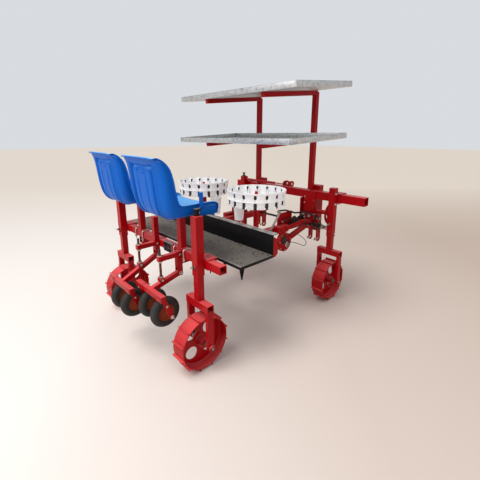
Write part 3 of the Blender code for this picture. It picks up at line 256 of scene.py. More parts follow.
def round_edges(shape, edges, width):
    bmesh.ops.bevel(shape, geom=list(edges), offset=width, segments=2, affect="EDGES", profile=0.5)


def add_block(shape, corner, other, bevel=0.0, turn=None, slot=0):
    """A block between two corners, with rounded edges if asked."""
    low, high = Vector(map(min, corner, other)), Vector(map(max, corner, other))
    made = bmesh.ops.create_cube(shape, size=1.0)["verts"]
    size = Matrix.Diagonal((*(high - low), 1.0))
    place = Matrix.Translation((low + high) / 2) @ (turn or Matrix.Identity(4)) @ size
    bmesh.ops.transform(shape, matrix=place, verts=made)
    paint_faces(made, slot)
    if bevel:
        round_edges(shape, {edge for vert in made for edge in vert.link_edges}, bevel)


def add_centred(shape, middle, half, bevel, turn=None, slot=0):
    """A block of three half sizes around a middle."""
    half = Vector(half)
    add_block(shape, middle - half, middle + half, bevel, turn, slot)


def add_spoke(shape, low, high, turn, bevel, slot=0):
    """A block between two corners, turned about the origin."""
    low, high = Vector(low), Vector(high)
    add_centred(shape, turn @ ((low + high) / 2), (high - low) / 2, bevel, turn, slot)


def add_rod(shape, start, end, radius, sides, bevel=0.0, slot=0, turn=0.0):
    """A round bar or, with six sides, a hexagon between two points."""
    start, end = Vector(start), Vector(end)
    along = end - start
    place = Matrix.Translation((start + end) / 2) @ frame_of(along) @ Matrix.Rotation(turn, 4, "Z")
    made = bmesh.ops.create_cone(shape, cap_ends=True, segments=sides, radius1=radius, radius2=radius,
                                 depth=along.length, matrix=place)["verts"]
    faces = paint_faces(made, slot)
    if bevel:
        round_edges(shape, {edge for face in faces if len(face.verts) == sides for edge in face.edges}, bevel)


def add_pin(shape, place, way, start, end, radius, sides, bevel=0.0, slot=0, turn=0.0):
    """A bar that stands on a place, between two reaches along a way."""
    add_rod(shape, place + way * start, place + way * end, radius, sides, bevel, slot, turn)


def add_turned(shape, profile, centre, axis, steps, slot=0):
    """A closed profile of (radius, offset) pairs turned about an axis through centre."""
    verts = [shape.verts.new((radius, 0.0, offset)) for radius, offset in profile]
    edges = [shape.edges.new((verts[i - 1], verts[i])) for i in range(len(verts))]
    old = set(shape.verts) - set(verts)
    bmesh.ops.spin(shape, geom=verts + edges, cent=(0, 0, 0), axis=(0, 0, 1),
                   angle=2 * math.pi, steps=steps, use_merge=True)
    made = [vert for vert in shape.verts if vert not in old]
    bmesh.ops.remove_doubles(shape, verts=made, dist=1e-6)
    made = [vert for vert in shape.verts if vert not in old]
    bmesh.ops.transform(shape, matrix=Matrix.Translation(centre) @ frame_of(axis), verts=made)
    paint_faces(made, slot)


def sided(profile, way):
    """A profile of (radius, offset) pairs with its offsets laid to one side."""
    return [(radius, way * offset) for radius, offset in profile]


def around(centre, radius, count, start=0.0):
    """Places on an upright circle that faces the machine's side."""
    turns = (start + 2 * math.pi * index / count for index in range(count))
    return [centre + Vector((radius * math.cos(turn), 0.0, radius * math.sin(turn))) for turn in turns]


def add_sweep(shape, points, radius, sides, slot=0):
    """A round tube with flat ends along a list of points."""
    points = [Vector(point) for point in points]
    rings = []
    normal = None
    for index, point in enumerate(points):
        before = points[max(index - 1, 0)]
        after = points[min(index + 1, len(points) - 1)]
        way = (after - before).normalized()
        if normal is None:
            normal = way.orthogonal().normalized()
        else:
            normal = (normal - normal.dot(way) * way).normalized()
        other = way.cross(normal)
        rings.append([
            shape.verts.new(point + radius * (math.cos(turn) * normal + math.sin(turn) * other))
            for turn in (2 * math.pi * step / sides for step in range(sides))])
    made = loft(shape, rings)
    made.append(shape.faces.new(rings[0][::-1]))
    made.append(shape.faces.new(rings[-1]))
    for face in made:
        face.material_index = slot


def loft(shape, rings):
    """Faces between closed rings of equally many vertices."""
    made = []
    count = len(rings[0])
    for lower, upper in zip(rings, rings[1:]):
        for index in range(count):
            other = (index + 1) % count
            made.append(shape.faces.new((lower[index], lower[other], upper[other], upper[index])))
    return made


BOLT_PARTS = (
    # far end, radius, sides, bevel and turn, in shares of the bolt's size: washer and head
    (0.16, 1.05, 20, 0.0, 0.0), (0.85, 0.78, 6, 0.06, 0.3),
)


def add_bolt(shape, place, axis, size, slot=0, stub=0.6):
    """Washer, hexagon head and the end of the thread, standing on a face."""
    place, axis = Vector(place), Vector(axis).normalized()
    for far, radius, sides, bevel, turn in BOLT_PARTS:
        add_rod(shape, place, place + axis * size * far, size * radius, sides, size * bevel, slot, turn)
    if stub:
        add_rod(shape, place, place + axis * size * (0.85 + stub), size * 0.42, 10, size * 0.05, slot)


def rounded_outline(corners, radius, steps):
    """The outline of a polygon whose corners are rounded."""
    points = []
    count = len(corners)
    for index, corner in enumerate(corners):
        corner = Vector(corner)
        before = (Vector(corners[index - 1]) - corner).normalized()
        after = (Vector(corners[(index + 1) % count]) - corner).normalized()
        half = before.angle(after) / 2
        reach = radius / math.tan(half)
        middle = corner + (before + after).normalized() * radius / math.sin(half)
        start, end = corner + before * reach - middle, corner + after * reach - middle
        for step in range(steps + 1):
            points.append(middle + radius * start.slerp(end, step / steps))
    return points


def circle(radius, x=0.0, y=0.0, steps=32):
    turns = (2 * math.pi * step / steps for step in range(steps))
    return [(x + radius * math.cos(turn), y + radius * math.sin(turn)) for turn in turns]


def add_plate(shape, loops, place, thick, slot=0):
    """A flat plate: the first loop is its outline, the others are its holes; place moves its middle."""
    edges = []
    for loop in loops:
        verts = [shape.verts.new((point[0], point[1], -thick / 2)) for point in loop]
        edges += [shape.edges.new((verts[index - 1], verts[index])) for index in range(len(verts))]
    filled = bmesh.ops.triangle_fill(shape, edges=edges, use_beauty=True)["geom"]
    faces = [item for item in filled if isinstance(item, bmesh.types.BMFace)]
    low = {vert for face in faces for vert in face.verts}
    pushed = bmesh.ops.extrude_face_region(shape, geom=faces)["geom"]
    high = [item for item in pushed if isinstance(item, bmesh.types.BMVert)]
    bmesh.ops.translate(shape, vec=(0.0, 0.0, thick), verts=high)
    made = list(low | set(high))
    bmesh.ops.transform(shape, matrix=place, verts=made)
    paint_faces(made, slot)


def facing(place, axis):
    """A matrix that lays a plate's middle at a place, with its face toward an axis."""
    return Matrix.Translation(place) @ frame_of(axis)


SPROCKET_TOOTH = (
    # share of a tooth's pitch, share of the radius
    (0.0, 0.86), (0.25, 0.90), (0.42, 1.0), (0.58, 1.0), (0.75, 0.90),
)


def add_sprocket(shape, centre, axis, radius, teeth, thick, slot=0):
    """A toothed wheel with a hub on both sides."""
    outline = []
    for index in range(teeth):
        for step, reach in SPROCKET_TOOTH:
            angle = 2 * math.pi * (index + step) / teeth
            outline.append((radius * reach * math.cos(angle), radius * reach * math.sin(angle)))
    add_plate(shape, [outline], facing(centre, axis), thick, slot)
    hub = axis * thick * 1.6
    add_rod(shape, centre - hub, centre + hub, radius * 0.45, 20, thick * 0.15, slot)


def add_helix(shape, start, end, radius, wire, turns, slot=0):
    """A coil spring between two points."""
    start, end = Vector(start), Vector(end)
    turn = frame_of(end - start)
    long = (end - start).length
    count = int(turns * 14)
    line = []
    for step in range(count + 1):
        angle = 2 * math.pi * turns * step / count
        spot = Vector((radius * math.cos(angle), radius * math.sin(angle), long * step / count))
        line.append(start + turn @ spot)
    add_sweep(shape, line, wire, 6, slot)


def smooth_line(points, steps):
    """Points along a smooth curve through the given ones."""
    points = [Vector(point) for point in points]
    padded = [2 * points[0] - points[1], *points, 2 * points[-1] - points[-2]]
    line = []
    for a, b, c, d in zip(padded, padded[1:], padded[2:], padded[3:]):
        for step in range(steps):
            t = step / steps
            line.append(0.5 * (2 * b + (c - a) * t + (2 * a - 5 * b + 4 * c - d) * t * t
                               + (3 * b - a - 3 * c + d) * t ** 3))
    line.append(points[-1])
    return line


# Finishes

class Finish:
    """Builds one node material, socket by socket."""

    def __init__(self, name, colour, roughness, metallic=0.0, shine=0.5):
        self.material = bpy.data.materials.new(name)
        self.material.use_nodes = True
        self.tree = self.material.node_tree
        self.shader = self.tree.nodes["Principled BSDF"]
        self.shader.inputs["Base Color"].default_value = (*colour, 1.0)
        self.shader.inputs["Roughness"].default_value = roughness
        self.shader.inputs["Metallic"].default_value = metallic
        self.shader.inputs["Specular IOR Level"].default_value = shine
        self.colour = self.node("ShaderNodeRGB")
        self.colour.default_value = (*colour, 1.0)
        self.place = self.node("ShaderNodeTexCoord", "Object")

    def node(self, kind, output=0, settings=(), **sockets):
        made = self.tree.nodes.new(kind)
        for key, value in dict(settings).items():
            setattr(made, key, value)
        for key, value in sockets.items():
            numbered = key[0] == "i" and key[1:].isdigit()
            socket = made.inputs[int(key[1:])] if numbered else made.inputs[key]
            if isinstance(value, bpy.types.NodeSocket):
                self.tree.links.new(value, socket)
            else:
                socket.default_value = value
        return made.outputs[output]

    def noise(self, scale, detail=3.0, rough=0.55, stretch=None):
        place = self.place
        if stretch:
            place = self.node("ShaderNodeMapping", Vector=place, Scale=stretch)
        return self.node("ShaderNodeTexNoise", 0, Vector=place, Scale=scale, Detail=detail, Roughness=rough)

    def ramp(self, value, low, high, start=0.0, end=1.0):
        return self.node("ShaderNodeMapRange", 0, {"clamp": True},
                         i0=value, i1=low, i2=high, i3=start, i4=end)

    def math(self, operation, first, second):
        settings = {"operation": operation, "use_clamp": True}
        return self.node("ShaderNodeMath", 0, settings, i0=first, i1=second)

    def mix(self, share, colour):
        """Lay another colour over the finish, as far as share says."""
        self.colour = self.node("ShaderNodeMix", 2, {"data_type": "RGBA"},
                                i0=share, i6=self.colour, i7=(*colour, 1.0))

    def patches(self, noise, low, high, most, colour):
        """Lay a colour over the finish in patches, and tell where they lie."""
        share = self.ramp(self.noise(*noise), low, high, 0.0, most)
        self.mix(share, colour)
        return share

    def up(self):
        """How far a face looks up, by the object's own normals."""
        normal = self.node("ShaderNodeTexCoord", "Normal")
        return self.node("ShaderNodeSeparateXYZ", 2, i0=normal)

    def height(self):
        return self.node("ShaderNodeSeparateXYZ", 2, i0=self.place)

    def along(self, way):
        """How far a point lies along a direction, in metres."""
        return self.node("ShaderNodeVectorMath", 1, {"operation": "DOT_PRODUCT"}, i0=self.place, i1=way)

    def roughen(self, share, start, end):
        self.tree.links.new(self.ramp(share, 0.0, 1.0, start, end), self.shader.inputs["Roughness"])

    def bump(self, height, strength, distance, round_edges=0.0):
        sockets = {"Height": height, "Strength": strength, "Distance": distance}
        if round_edges:
            sockets["Normal"] = self.node("ShaderNodeBevel", 0, {"samples": 4}, Radius=round_edges)
        self.tree.links.new(self.node("ShaderNodeBump", 0, (), **sockets), self.shader.inputs["Normal"])

    def done(self, **sockets):
        """Close the finish, with some last values of the shader's own sockets."""
        for name, value in sockets.items():
            self.shader.inputs[name.replace("_", " ")].default_value = value
        self.tree.links.new(self.colour, self.shader.inputs["Base Color"])
        return self.material


FINISHES = {}


def dusted(finish, dust, amount, scale=9.0):
    """Dust that lies on what looks up, thicker in patches."""
    patches = finish.ramp(finish.noise(scale, 5.0, 0.65), 0.35, 0.75, 0.25, 1.0)
    top = finish.ramp(finish.up(), 0.35, 0.98, 0.0, amount)
    share = finish.math("MULTIPLY", top, patches)
    finish.mix(share, dust)
    return share


def red_paint(colours):
    made = Finish("red_paint", colours.red, 0.34, 0.0, 0.12)
    made.patches((2.3, 4.0), 0.35, 0.7, 0.16, (0.27, 0.003, 0.006))
    # Painted sky reflection: upward faces are mixed toward a pale pink, as a sheen from the sky would lie on
    # them
    made.mix(made.ramp(made.up(), 0.10, 0.95, 0.0, 0.62), (0.92, 0.10, 0.11))
    share = dusted(made, colours.dust, 0.12)
    scuffs = made.ramp(made.noise(38.0, 6.0, 0.7), 0.66, 0.72, 0.0, 0.55)
    low = made.ramp(made.height(), 0.42, 0.02, 0.0, 0.75)
    made.mix(made.math("MULTIPLY", scuffs, low), colours.dust)
    made.roughen(share, 0.30, 0.72)
    made.bump(made.noise(420.0, 2.0), 0.06, 0.0004, 0.0018)
    return made.done(Coat_Weight=0.05, Coat_Roughness=0.15)


def blue_plastic(colours):
    made = Finish("blue_plastic", colours.blue, 0.34, 0.0, 0.10)
    made.patches((3.0, 3.0), 0.35, 0.7, 0.18, (0.002, 0.085, 0.40))
    # Painted highlight: upward faces are mixed toward a pale blue, standing in for the sky's reflection on
    # the seat pan and rim
    made.mix(made.ramp(made.up(), 0.30, 0.95, 0.0, 0.72), (0.20, 0.56, 1.0))
    made.roughen(dusted(made, colours.dust, 0.05, 6.0), 0.38, 0.75)
    made.bump(made.noise(900.0, 2.0), 0.10, 0.0003, 0.0015)
    return made.done(Coat_Weight=0.02)


def white_plastic(colours):
    made = Finish("white_plastic", colours.white, 0.50, 0.0, 0.3)
    made.patches((5.0, 4.0), 0.45, 0.8, 0.05, (0.80, 0.78, 0.76))
    smears = made.patches((26.0, 6.0, 0.7, (1.0, 1.0, 0.3)), 0.66, 0.80, 0.10, colours.dust)
    made.roughen(smears, 0.42, 0.7)
    made.bump(made.noise(700.0, 2.0), 0.08, 0.0003, 0.0008)
    # Painted glow: a faint white emission lifts the shaded sides of the plastic, though it is no lamp
    return made.done(Emission_Color=(1.0, 0.985, 0.975, 1.0), Emission_Strength=0.08)


def flake_shade(made, scale, channel):
    """Flat cells of random grey, as zinc flakes have."""
    flakes = made.node("ShaderNodeTexVoronoi", "Color", Vector=made.place, Scale=scale)
    return made.node("ShaderNodeSeparateColor", channel, i0=flakes)


def galvanised_sheet(colours):
    made = Finish("galvanised_sheet", colours.zinc, 0.42, 0.75)
    wide = made.math("MULTIPLY", flake_shade(made, 58.0, 0), 0.65)
    fine = made.math("MULTIPLY", flake_shade(made, 150.0, 1), 0.35)
    both = made.math("ADD", wide, fine)
    made.mix(made.ramp(both, 0.30, 0.75, 0.0, 0.55), (0.74, 0.745, 0.74))
    # Painted light: the sheet grows lighter toward the machine's right side (-Y) and front, where the trays
    # catch more light
    made.mix(made.ramp(made.along((0.5, -0.86, 0.0)), 0.3, 1.4, 0.0, 0.7), (0.86, 0.86, 0.85))
    made.mix(made.ramp(both, 0.40, 0.15, 0.0, 0.45), (0.27, 0.31, 0.36))
    made.patches((7.0, 6.0, 0.7), 0.55, 0.75, 0.5, (0.66, 0.66, 0.64))
    made.roughen(both, 0.30, 0.62)
    made.bump(both, 0.10, 0.0003, 0.0010)
    return made.done()


def black_paint(colours):
    made = Finish("black_paint", colours.black, 0.42, 0.0, 0.12)
    share = dusted(made, (0.52, 0.47, 0.44), 0.90, 12.0)
    smears = made.patches((14.0, 6.0, 0.7, (1.0, 1.0, 0.4)), 0.60, 0.80, 0.05, colours.dust)
    made.roughen(made.math("ADD", share, smears), 0.30, 0.80)
    made.bump(made.noise(350.0, 2.0), 0.08, 0.0004, 0.0015)
    return made.done()


def dusty_plate(colours):
    made = Finish("dusty_plate", colours.plate, 0.78, 0.0, 0.3)
    made.patches((11.0, 6.0, 0.65), 0.35, 0.70, 0.42, (0.19, 0.155, 0.125))
    stains = made.patches((17.0, 7.0, 0.72), 0.60, 0.68, 0.75, (0.022, 0.018, 0.016))
    made.patches((60.0, 4.0, 0.7), 0.60, 0.72, 0.45, (0.36, 0.32, 0.275))
    made.mix(made.ramp(made.along(AXIS_Y), 0.0, 1.1, 0.0, 0.55), (0.33, 0.285, 0.24))
    made.roughen(stains, 0.82, 0.55)
    made.bump(made.noise(95.0, 6.0, 0.7), 0.35, 0.0012)
    return made.done()


def bare_steel(colours):
    made = Finish("bare_steel", colours.steel, 0.42, 0.85)
    rust = made.patches((30.0, 6.0, 0.7), 0.50, 0.66, 0.75, (0.10, 0.055, 0.032))
    made.roughen(rust, 0.36, 0.80)
    made.bump(made.noise(300.0, 3.0), 0.12, 0.0004, 0.0008)
    return made.done()


def plain_finish(name, colour, look, patches=None, noise=None, bump=None):
    """A finish with one kind of patches and a fine grain."""
    made = Finish(name, colour, *look)
    if patches:
        made.patches(*patches)
        made.bump(made.noise(*noise), *bump)
    return made.done()


MAKERS = (red_paint, blue_plastic, white_plastic, galvanised_sheet, black_paint, dusty_plate, bare_steel)
PLAIN_FINISHES = (
    # name, setting or colour, roughness with metallic and shine,
    # patches as noise, low, high, most and colour, noise of the grain, its strength and depth
    ("rubber", "rubber", (0.72,),
     ((16.0, 5.0, 0.65), 0.42, 0.75, 0.22, (0.10, 0.085, 0.068)), (260.0, 4.0), (0.18, 0.0006)),
    ("orange_rim", "orange", (0.50, 0.0, 0.2),
     ((22.0, 5.0, 0.7), 0.50, 0.72, 0.55, (0.16, 0.045, 0.02)), (240.0, 3.0), (0.10, 0.0004, 0.001)),
    ("bolt_zinc", (0.62, 0.60, 0.55), (0.32, 0.9),
     ((45.0, 5.0, 0.7), 0.55, 0.72, 0.5, (0.20, 0.16, 0.12)), (380.0, 2.0), (0.08, 0.0003)),
    ("dull_zinc", (0.30, 0.27, 0.24), (0.50, 0.8),
     ((60.0, 5.0, 0.7), 0.45, 0.65, 0.7, (0.13, 0.08, 0.055)), (320.0, 3.0), (0.12, 0.0004)),
    ("oily_steel", (0.050, 0.042, 0.036), (0.42, 0.65),
     ((40.0, 6.0, 0.7), 0.50, 0.70, 0.6, (0.17, 0.125, 0.09)), (210.0, 3.0), (0.20, 0.0005)),
    # Dark soil on the deck, and also the painted shade of the sheets in the cup gaps
    ("dark_soil_and_painted_shade", (0.035, 0.026, 0.020), (0.95,)),
    ("dry_soil", (0.16, 0.12, 0.085), (0.95,)),
)
NODE_WELD = 0.00002
NODE_FLAT = math.radians(0.6)
NODE_SHARP = math.radians(50.0)
NODE_BEVEL = 0.0025


def rounded_node(node, paint):
    """Keep a node, give it a finish, and round its long edges by modifiers."""
    obj = NODES[node]
    obj.data.materials.clear()
    obj.data.materials.append(paint)
    weld = obj.modifiers.new("close", "WELD")
    weld.merge_threshold = NODE_WELD
    flat = obj.modifiers.new("flatten", "DECIMATE")
    flat.decimate_type = "DISSOLVE"
    flat.angle_limit = NODE_FLAT
    edges = obj.modifiers.new("edges", "BEVEL")
    edges.width = NODE_BEVEL
    edges.segments = 2
    edges.limit_method = "ANGLE"
    edges.angle_limit = NODE_SHARP
    edges.use_clamp_overlap = True
    edges.harden_normals = True


# Operators, one for each piece or group of like pieces

class MakeFinishes(bpy.types.Operator):
    """Make the materials and lay them on the frame's own pieces"""
    bl_idname = "transplanter.make_finishes"
    bl_label = "Finishes"

    def execute(self, context):
        colours = context.scene.transplanter_colours
        for maker in MAKERS:
            FINISHES[maker.__name__] = maker(colours)
        for name, colour, *look in PLAIN_FINISHES:
            colour = getattr(colours, colour) if isinstance(colour, str) else colour
            FINISHES[name] = plain_finish(name, colour, *look)
        slots = {row["node"]: row["material_slot"] for row in frame["record"]["subparts"]}
        for node in NODES:
            rounded_node(node, FINISHES.get(slots.get(node), FINISHES["red_paint"]))
        return {"FINISHED"}


SEAT_STATIONS = (
    # middle X and Z, side edge X and Z, half width; X from the seat post's middle
    (0.152, 1.066, 0.136, 1.079, 0.206),
    (0.168, 1.080, 0.151, 1.096, 0.218),
    (0.173, 1.102, 0.156, 1.120, 0.226),
    (0.160, 1.119, 0.146, 1.143, 0.230),
    (0.108, 1.113, 0.098, 1.156, 0.232),
    (0.040, 1.087, 0.038, 1.158, 0.232),
    (-0.030, 1.072, -0.028, 1.158, 0.232),
    (-0.100, 1.066, -0.092, 1.158, 0.232),
    (-0.165, 1.068, -0.134, 1.160, 0.234),
    (-0.212, 1.092, -0.160, 1.168, 0.238),
    (-0.240, 1.135, -0.178, 1.190, 0.242),
    (-0.256, 1.195, -0.190, 1.225, 0.246),
    (-0.265, 1.265, -0.201, 1.275, 0.249),
    (-0.272, 1.340, -0.212, 1.340, 0.248),
    (-0.280, 1.400, -0.230, 1.400, 0.242),
    (-0.291, 1.444, -0.264, 1.441, 0.228),
    (-0.303, 1.466, -0.296, 1.462, 0.200),
)
SEAT_STEPS = 6
SEAT_POWER = 3.6
SEAT_FLAT = 0.72
SEAT_FLAT_STEPS = 42
SEAT_CORNER_STEPS = 14
SEAT_GROOVE_PLACE = 0.54
SEAT_GROOVE_LEAN = 0.13
SEAT_GROOVE_WIDE = 0.048
SEAT_GROOVE_FLARE = 0.012
SEAT_LEDGE_SHARE = 0.885
SEAT_LEDGE_DEEP = 0.40
SEAT_INNER_PLACE = 0.22
SEAT_INNER_DEEP = 0.14
SEAT_CENTRE = Vector((0.02, 0.0, 1.30))
SEAT_SLOT = Vector((0.072, 0.0045, 0.010))
SEAT_RIM_BLEND = 9
SEAT_RIM_TURNS = (
    # reach and drop of the rolled rim, in shares of its depth
    (0.30, 0.08), (0.52, 0.34), (0.52, 0.72), (0.40, 1.0),
)
SEAT_CORNER_CUT = 0.026
SEAT_SKIRT_Z = 1.077
SEAT_SKIRT_ROWS = (2, 34)
SEAT_SLOT_Z = 1.375


def ease(value, start, end):
    """Smooth step from 0 at start to 1 at end."""
    share = min(max((value - start) / (end - start), 0.0), 1.0)
    return share * share * (3 - 2 * share)


def seat_columns():
    """Pairs of a column's place across the seat and its lift from the middle toward the side edge."""
    flat = [index / SEAT_FLAT_STEPS * SEAT_FLAT for index in range(SEAT_FLAT_STEPS)]
    half = [(place, 1 - (1 - place ** SEAT_POWER) ** (1 / SEAT_POWER)) for place in flat]
    start = math.asin(SEAT_FLAT ** (SEAT_POWER / 2))
    for step in range(SEAT_CORNER_STEPS + 1):
        angle = start + (math.pi / 2 - start) * (1 - (1 - step / SEAT_CORNER_STEPS) ** 1.6)
        half.append((math.sin(angle) ** (2 / SEAT_POWER), 1 - max(math.cos(angle), 0.0) ** (2 / SEAT_POWER)))
    return [(-place, lift) for place, lift in half[:0:-1]] + half


def seat_relief(settings, across, share):
    """How far the shell is pressed in toward the sitter, at a place across and along it."""
    place = SEAT_GROOVE_PLACE - SEAT_GROOVE_LEAN * ease(share, 0.66, 0.48)
    wide = SEAT_GROOVE_WIDE + SEAT_GROOVE_FLARE * ease(share, 0.66, 0.50)
    deep = settings.groove * (0.45 + 0.55 * ease(share, 0.86, 0.56))
    groove = deep * math.exp(-abs((across - place) / wide) ** 1.7)
    groove -= 0.22 * deep * math.exp(-abs((across - place - 2.1 * wide) / wide) ** 2)
    groove *= ease(share, 0.40, 0.54) * ease(share, 0.93, 0.88)
    ledge = settings.groove * SEAT_LEDGE_DEEP * ease(across, place, place - 0.03)
    ledge *= math.exp(-abs((share - SEAT_LEDGE_SHARE) / 0.014) ** 2)
    inner = settings.groove * SEAT_INNER_DEEP * math.exp(-((across - SEAT_INNER_PLACE) / 0.04) ** 2)
    inner *= ease(share, 0.52, 0.62) * ease(share, 0.86, 0.78)
    notch = settings.panel * ease(across, 0.24, 0.21)
    notch *= ease(share, 0.835, 0.845) * ease(share, 0.878, 0.866)
    return groove + ledge + inner + notch


def row_at(rows, share):
    """The seat's section at a share of its length, between the rows."""
    spot = share * (len(rows) - 1)
    index = min(int(spot), len(rows) - 2)
    return rows[index].lerp(rows[index + 1], spot - index)


def seat_grid(settings):
    """Rows of points on the seat's shell, from the front lip to the back's top."""
    rows = smooth_line(SEAT_STATIONS, SEAT_STEPS)
    grid = []
    last = len(rows) - 1
    columns = seat_columns()
    for number in range(len(rows)):
        share = number / last
        way = rows[min(number + 1, last)] - rows[max(number - 1, 0)]
        inward = Vector((way[1], 0.0, -way[0])).normalized()
        line = []
        for across, lift in columns:
            cut = SEAT_CORNER_CUT * ease(share, 0.86, 1.0) * ease(abs(across), 0.74, 1.0)
            middle_x, middle_z, edge_x, edge_z, half = row_at(rows, share - cut)
            place = Vector((middle_x + lift * (edge_x - middle_x), across * half,
                            middle_z + lift * (edge_z - middle_z)))
            line.append(place + inward * seat_relief(settings, abs(across), share))
        grid.append(line)
    return grid


def seat_sheet(settings, centre):
    """The seat's shell with its rolled rim, as an open surface."""
    shape = bmesh.new()
    grid = seat_grid(settings)
    verts = [[shape.verts.new(centre + place) for place in line] for line in grid]
    last_row, last = len(grid) - 1, len(grid[0]) - 1
    for column in (0, last):
        edge = [grid[number][column] for number in range(*SEAT_SKIRT_ROWS)]
        top = [shape.verts.new(centre + place) for place in edge]
        feet = [Vector((place.x, place.y * 0.985, min(SEAT_SKIRT_Z, place.z - 0.001))) for place in edge]
        foot = [shape.verts.new(centre + place) for place in feet]
        for index in range(len(edge) - 1):
            shape.faces.new((top[index], top[index + 1], foot[index + 1], foot[index]))
    for row, other in zip(verts, verts[1:]):
        for index in range(last):
            shape.faces.new((row[index], row[index + 1], other[index + 1], other[index]))
    border = [(0, c) for c in range(last)] + [(r, last) for r in range(last_row)]
    border += [(last_row, c) for c in range(last, 0, -1)] + [(r, 0) for r in range(last_row, 0, -1)]
    rings = [[verts[r][c] for r, c in border]] + [[] for _ in SEAT_RIM_TURNS]
    ways = []
    for index, (r, c) in enumerate(border):
        place = grid[r][c]
        before, after = border[index - 1], border[(index + 1) % len(border)]
        along = grid[after[0]][after[1]] - grid[before[0]][before[1]]
        inner = grid[min(max(r, 2), last_row - 2)][min(max(c, 2), last - 2)]
        out = place - inner
        out = (out - out.project(along)).normalized()
        away = along.cross(out).normalized()
        if away.dot(place - SEAT_CENTRE) < 0:
            away = -away
        ways.append((out, away))
    for index, (r, c) in enumerate(border):
        near = [ways[(index + step) % len(ways)] for step in range(-SEAT_RIM_BLEND, SEAT_RIM_BLEND + 1)]
        out = sum((way[0] for way in near), Vector()).normalized()
        away = sum((way[1] for way in near), Vector()).normalized()
        for ring, (reach, drop) in zip(rings[1:], SEAT_RIM_TURNS):
            ring.append(shape.verts.new(centre + grid[r][c] + settings.rim * (out * reach + away * drop)))
    loft(shape, rings)
    return shape, grid


class MakeSeats(bpy.types.Operator):
    """Mould the two bucket seats with their grooves, rims and grip lips"""
    bl_idname = "transplanter.make_seats"
    bl_label = "Seats"

    def execute(self, context):
        settings = context.scene.transplanter_seat
        for name in ROWS:
            post = middle_of("seat_post_" + name)
            centre = Vector((post.x, post.y, 0.0))
            shape, grid = seat_sheet(settings, centre)
            seat = to_object("seat_shell_" + name, shape, ("blue_plastic",), 60.0)
            wall = seat.modifiers.new("wall", "SOLIDIFY")
            wall.thickness = settings.thick
            wall.offset = 0.0
            settle(seat, ROOT, "blue_plastic", "seat_" + name)
            middles = [line[len(line) // 2] for line in grid]
            number = min(range(len(middles)), key=lambda index: abs(middles[index].z - SEAT_SLOT_Z))
            slope = (middles[number + 2] - middles[number - 2]).normalized()
            outer = centre + middles[number] - AXIS_X * settings.thick * 0.5
            shape = bmesh.new()
            add_centred(shape, outer, SEAT_SLOT / 2, 0.0015, turned_to(AXIS_Y, slope, AXIS_Y.cross(slope)))
            make_piece("seat_grip_" + name, shape, ("blue_plastic",), ROOT, "blue_plastic")
        return {"FINISHED"}


CUP_LEVELS = (
    # shares of the height down, of the outer radius, of the inner radius and of the gap
    (0.00, 1.000, 1.00, 0.08), (0.09, 0.995, 1.00, 0.10), (0.13, 0.992, 1.00, 0.62),
    (0.24, 0.986, 1.00, 1.00), (0.34, 0.978, 1.00, 0.72), (0.38, 0.974, 1.00, 0.12),
    (0.50, 0.968, 1.00, 0.10), (0.54, 0.968, 1.00, 0.10), (0.57, 0.950, 1.01, 0.55),
    (0.75, 0.944, 1.03, 0.85), (0.88, 0.936, 1.06, 1.00), (1.00, 0.925, 1.10, 1.20),
)
CUP_PHASE = math.radians(8.3)
CUP_INNER_DROP = 0.078
CUP_WALL_END = 0.76
CUP_WALL_FULL = 0.88
# Painted shade: a dark sheet stands in each gap between two cups; its place as a share of the radius, its
# half width, and its spans down the cup
CUP_SHADE_SHEET = 0.935
CUP_SHADE_SHEET_HALF = 0.0105
CUP_SHADE_SHEET_SPANS = ((0.12, 0.37), (0.57, 0.99))


def cup_ring(shape, settings, level, middle, inset, height):
    """The outline of a cup at one level, inset by its wall."""
    drop, outer_share, inner_share, gap_share = level
    outer = settings["radius"] * outer_share - inset
    inner = settings["inner"] * inner_share + inset
    half_gap = settings["gap"] / 2 * gap_share + inset
    half = math.pi / settings["cups"]
    wide_out = outer * math.sin(half) - half_gap
    wide_in = inner * math.sin(half) - half_gap
    outer = outer * math.cos(half)
    bulge = settings["radius"] * (1 - math.cos(half)) * 1.1
    near = inner + CUP_WALL_END * (outer - inner)
    wide_near = wide_in + CUP_WALL_END * (wide_out - wide_in)
    corners = [(inner, -wide_in, 0.0), (inner, wide_in, 0.0), (outer, wide_out, 0.0), (outer, -wide_out, 0.0)]
    points = rounded_outline(corners, min(0.010, wide_in * 0.7), 3)
    points.insert(len(points) // 2, Vector((near, wide_near, 0.0)))
    points.append(Vector((near, -wide_near, 0.0)))
    turn = Matrix.Rotation(middle, 4, "Z")
    ring = []
    for point in points:
        if point.x > (inner + outer) / 2:
            point.x += bulge * max(0.0, 1 - (point.y / wide_out) ** 2)
        share = 1 - ease((point.x - inner) / (outer - inner), CUP_WALL_END, CUP_WALL_FULL)
        low = CUP_INNER_DROP * (1 - drop) * share
        ring.append(shape.verts.new(turn @ Vector((point.x, point.y, height - low))))
    return ring


def add_cup(shape, settings, middle, tall):
    """One open cup with its wall, its floor and the two ears of its flap."""
    outer = [cup_ring(shape, settings, level, middle, 0.0, -level[0] * tall) for level in CUP_LEVELS]
    inner = [cup_ring(shape, settings, level, middle, settings["wall"],
                      -min(level[0] * tall, tall - settings["wall"])) for level in CUP_LEVELS]
    loft(shape, outer)
    loft(shape, inner)
    loft(shape, [outer[0], inner[0]])
    shape.faces.new(outer[-1])
    shape.faces.new(inner[-1])
    turn = Matrix.Rotation(middle, 4, "Z")
    reach = settings["radius"] * 0.955
    for way in WAYS:
        y = way * 0.030
        add_spoke(shape, (reach - 0.012, y - 0.0035, -tall * 0.97), (reach + 0.007, y + 0.0035, -tall * 0.86),
                  turn, 0.001)


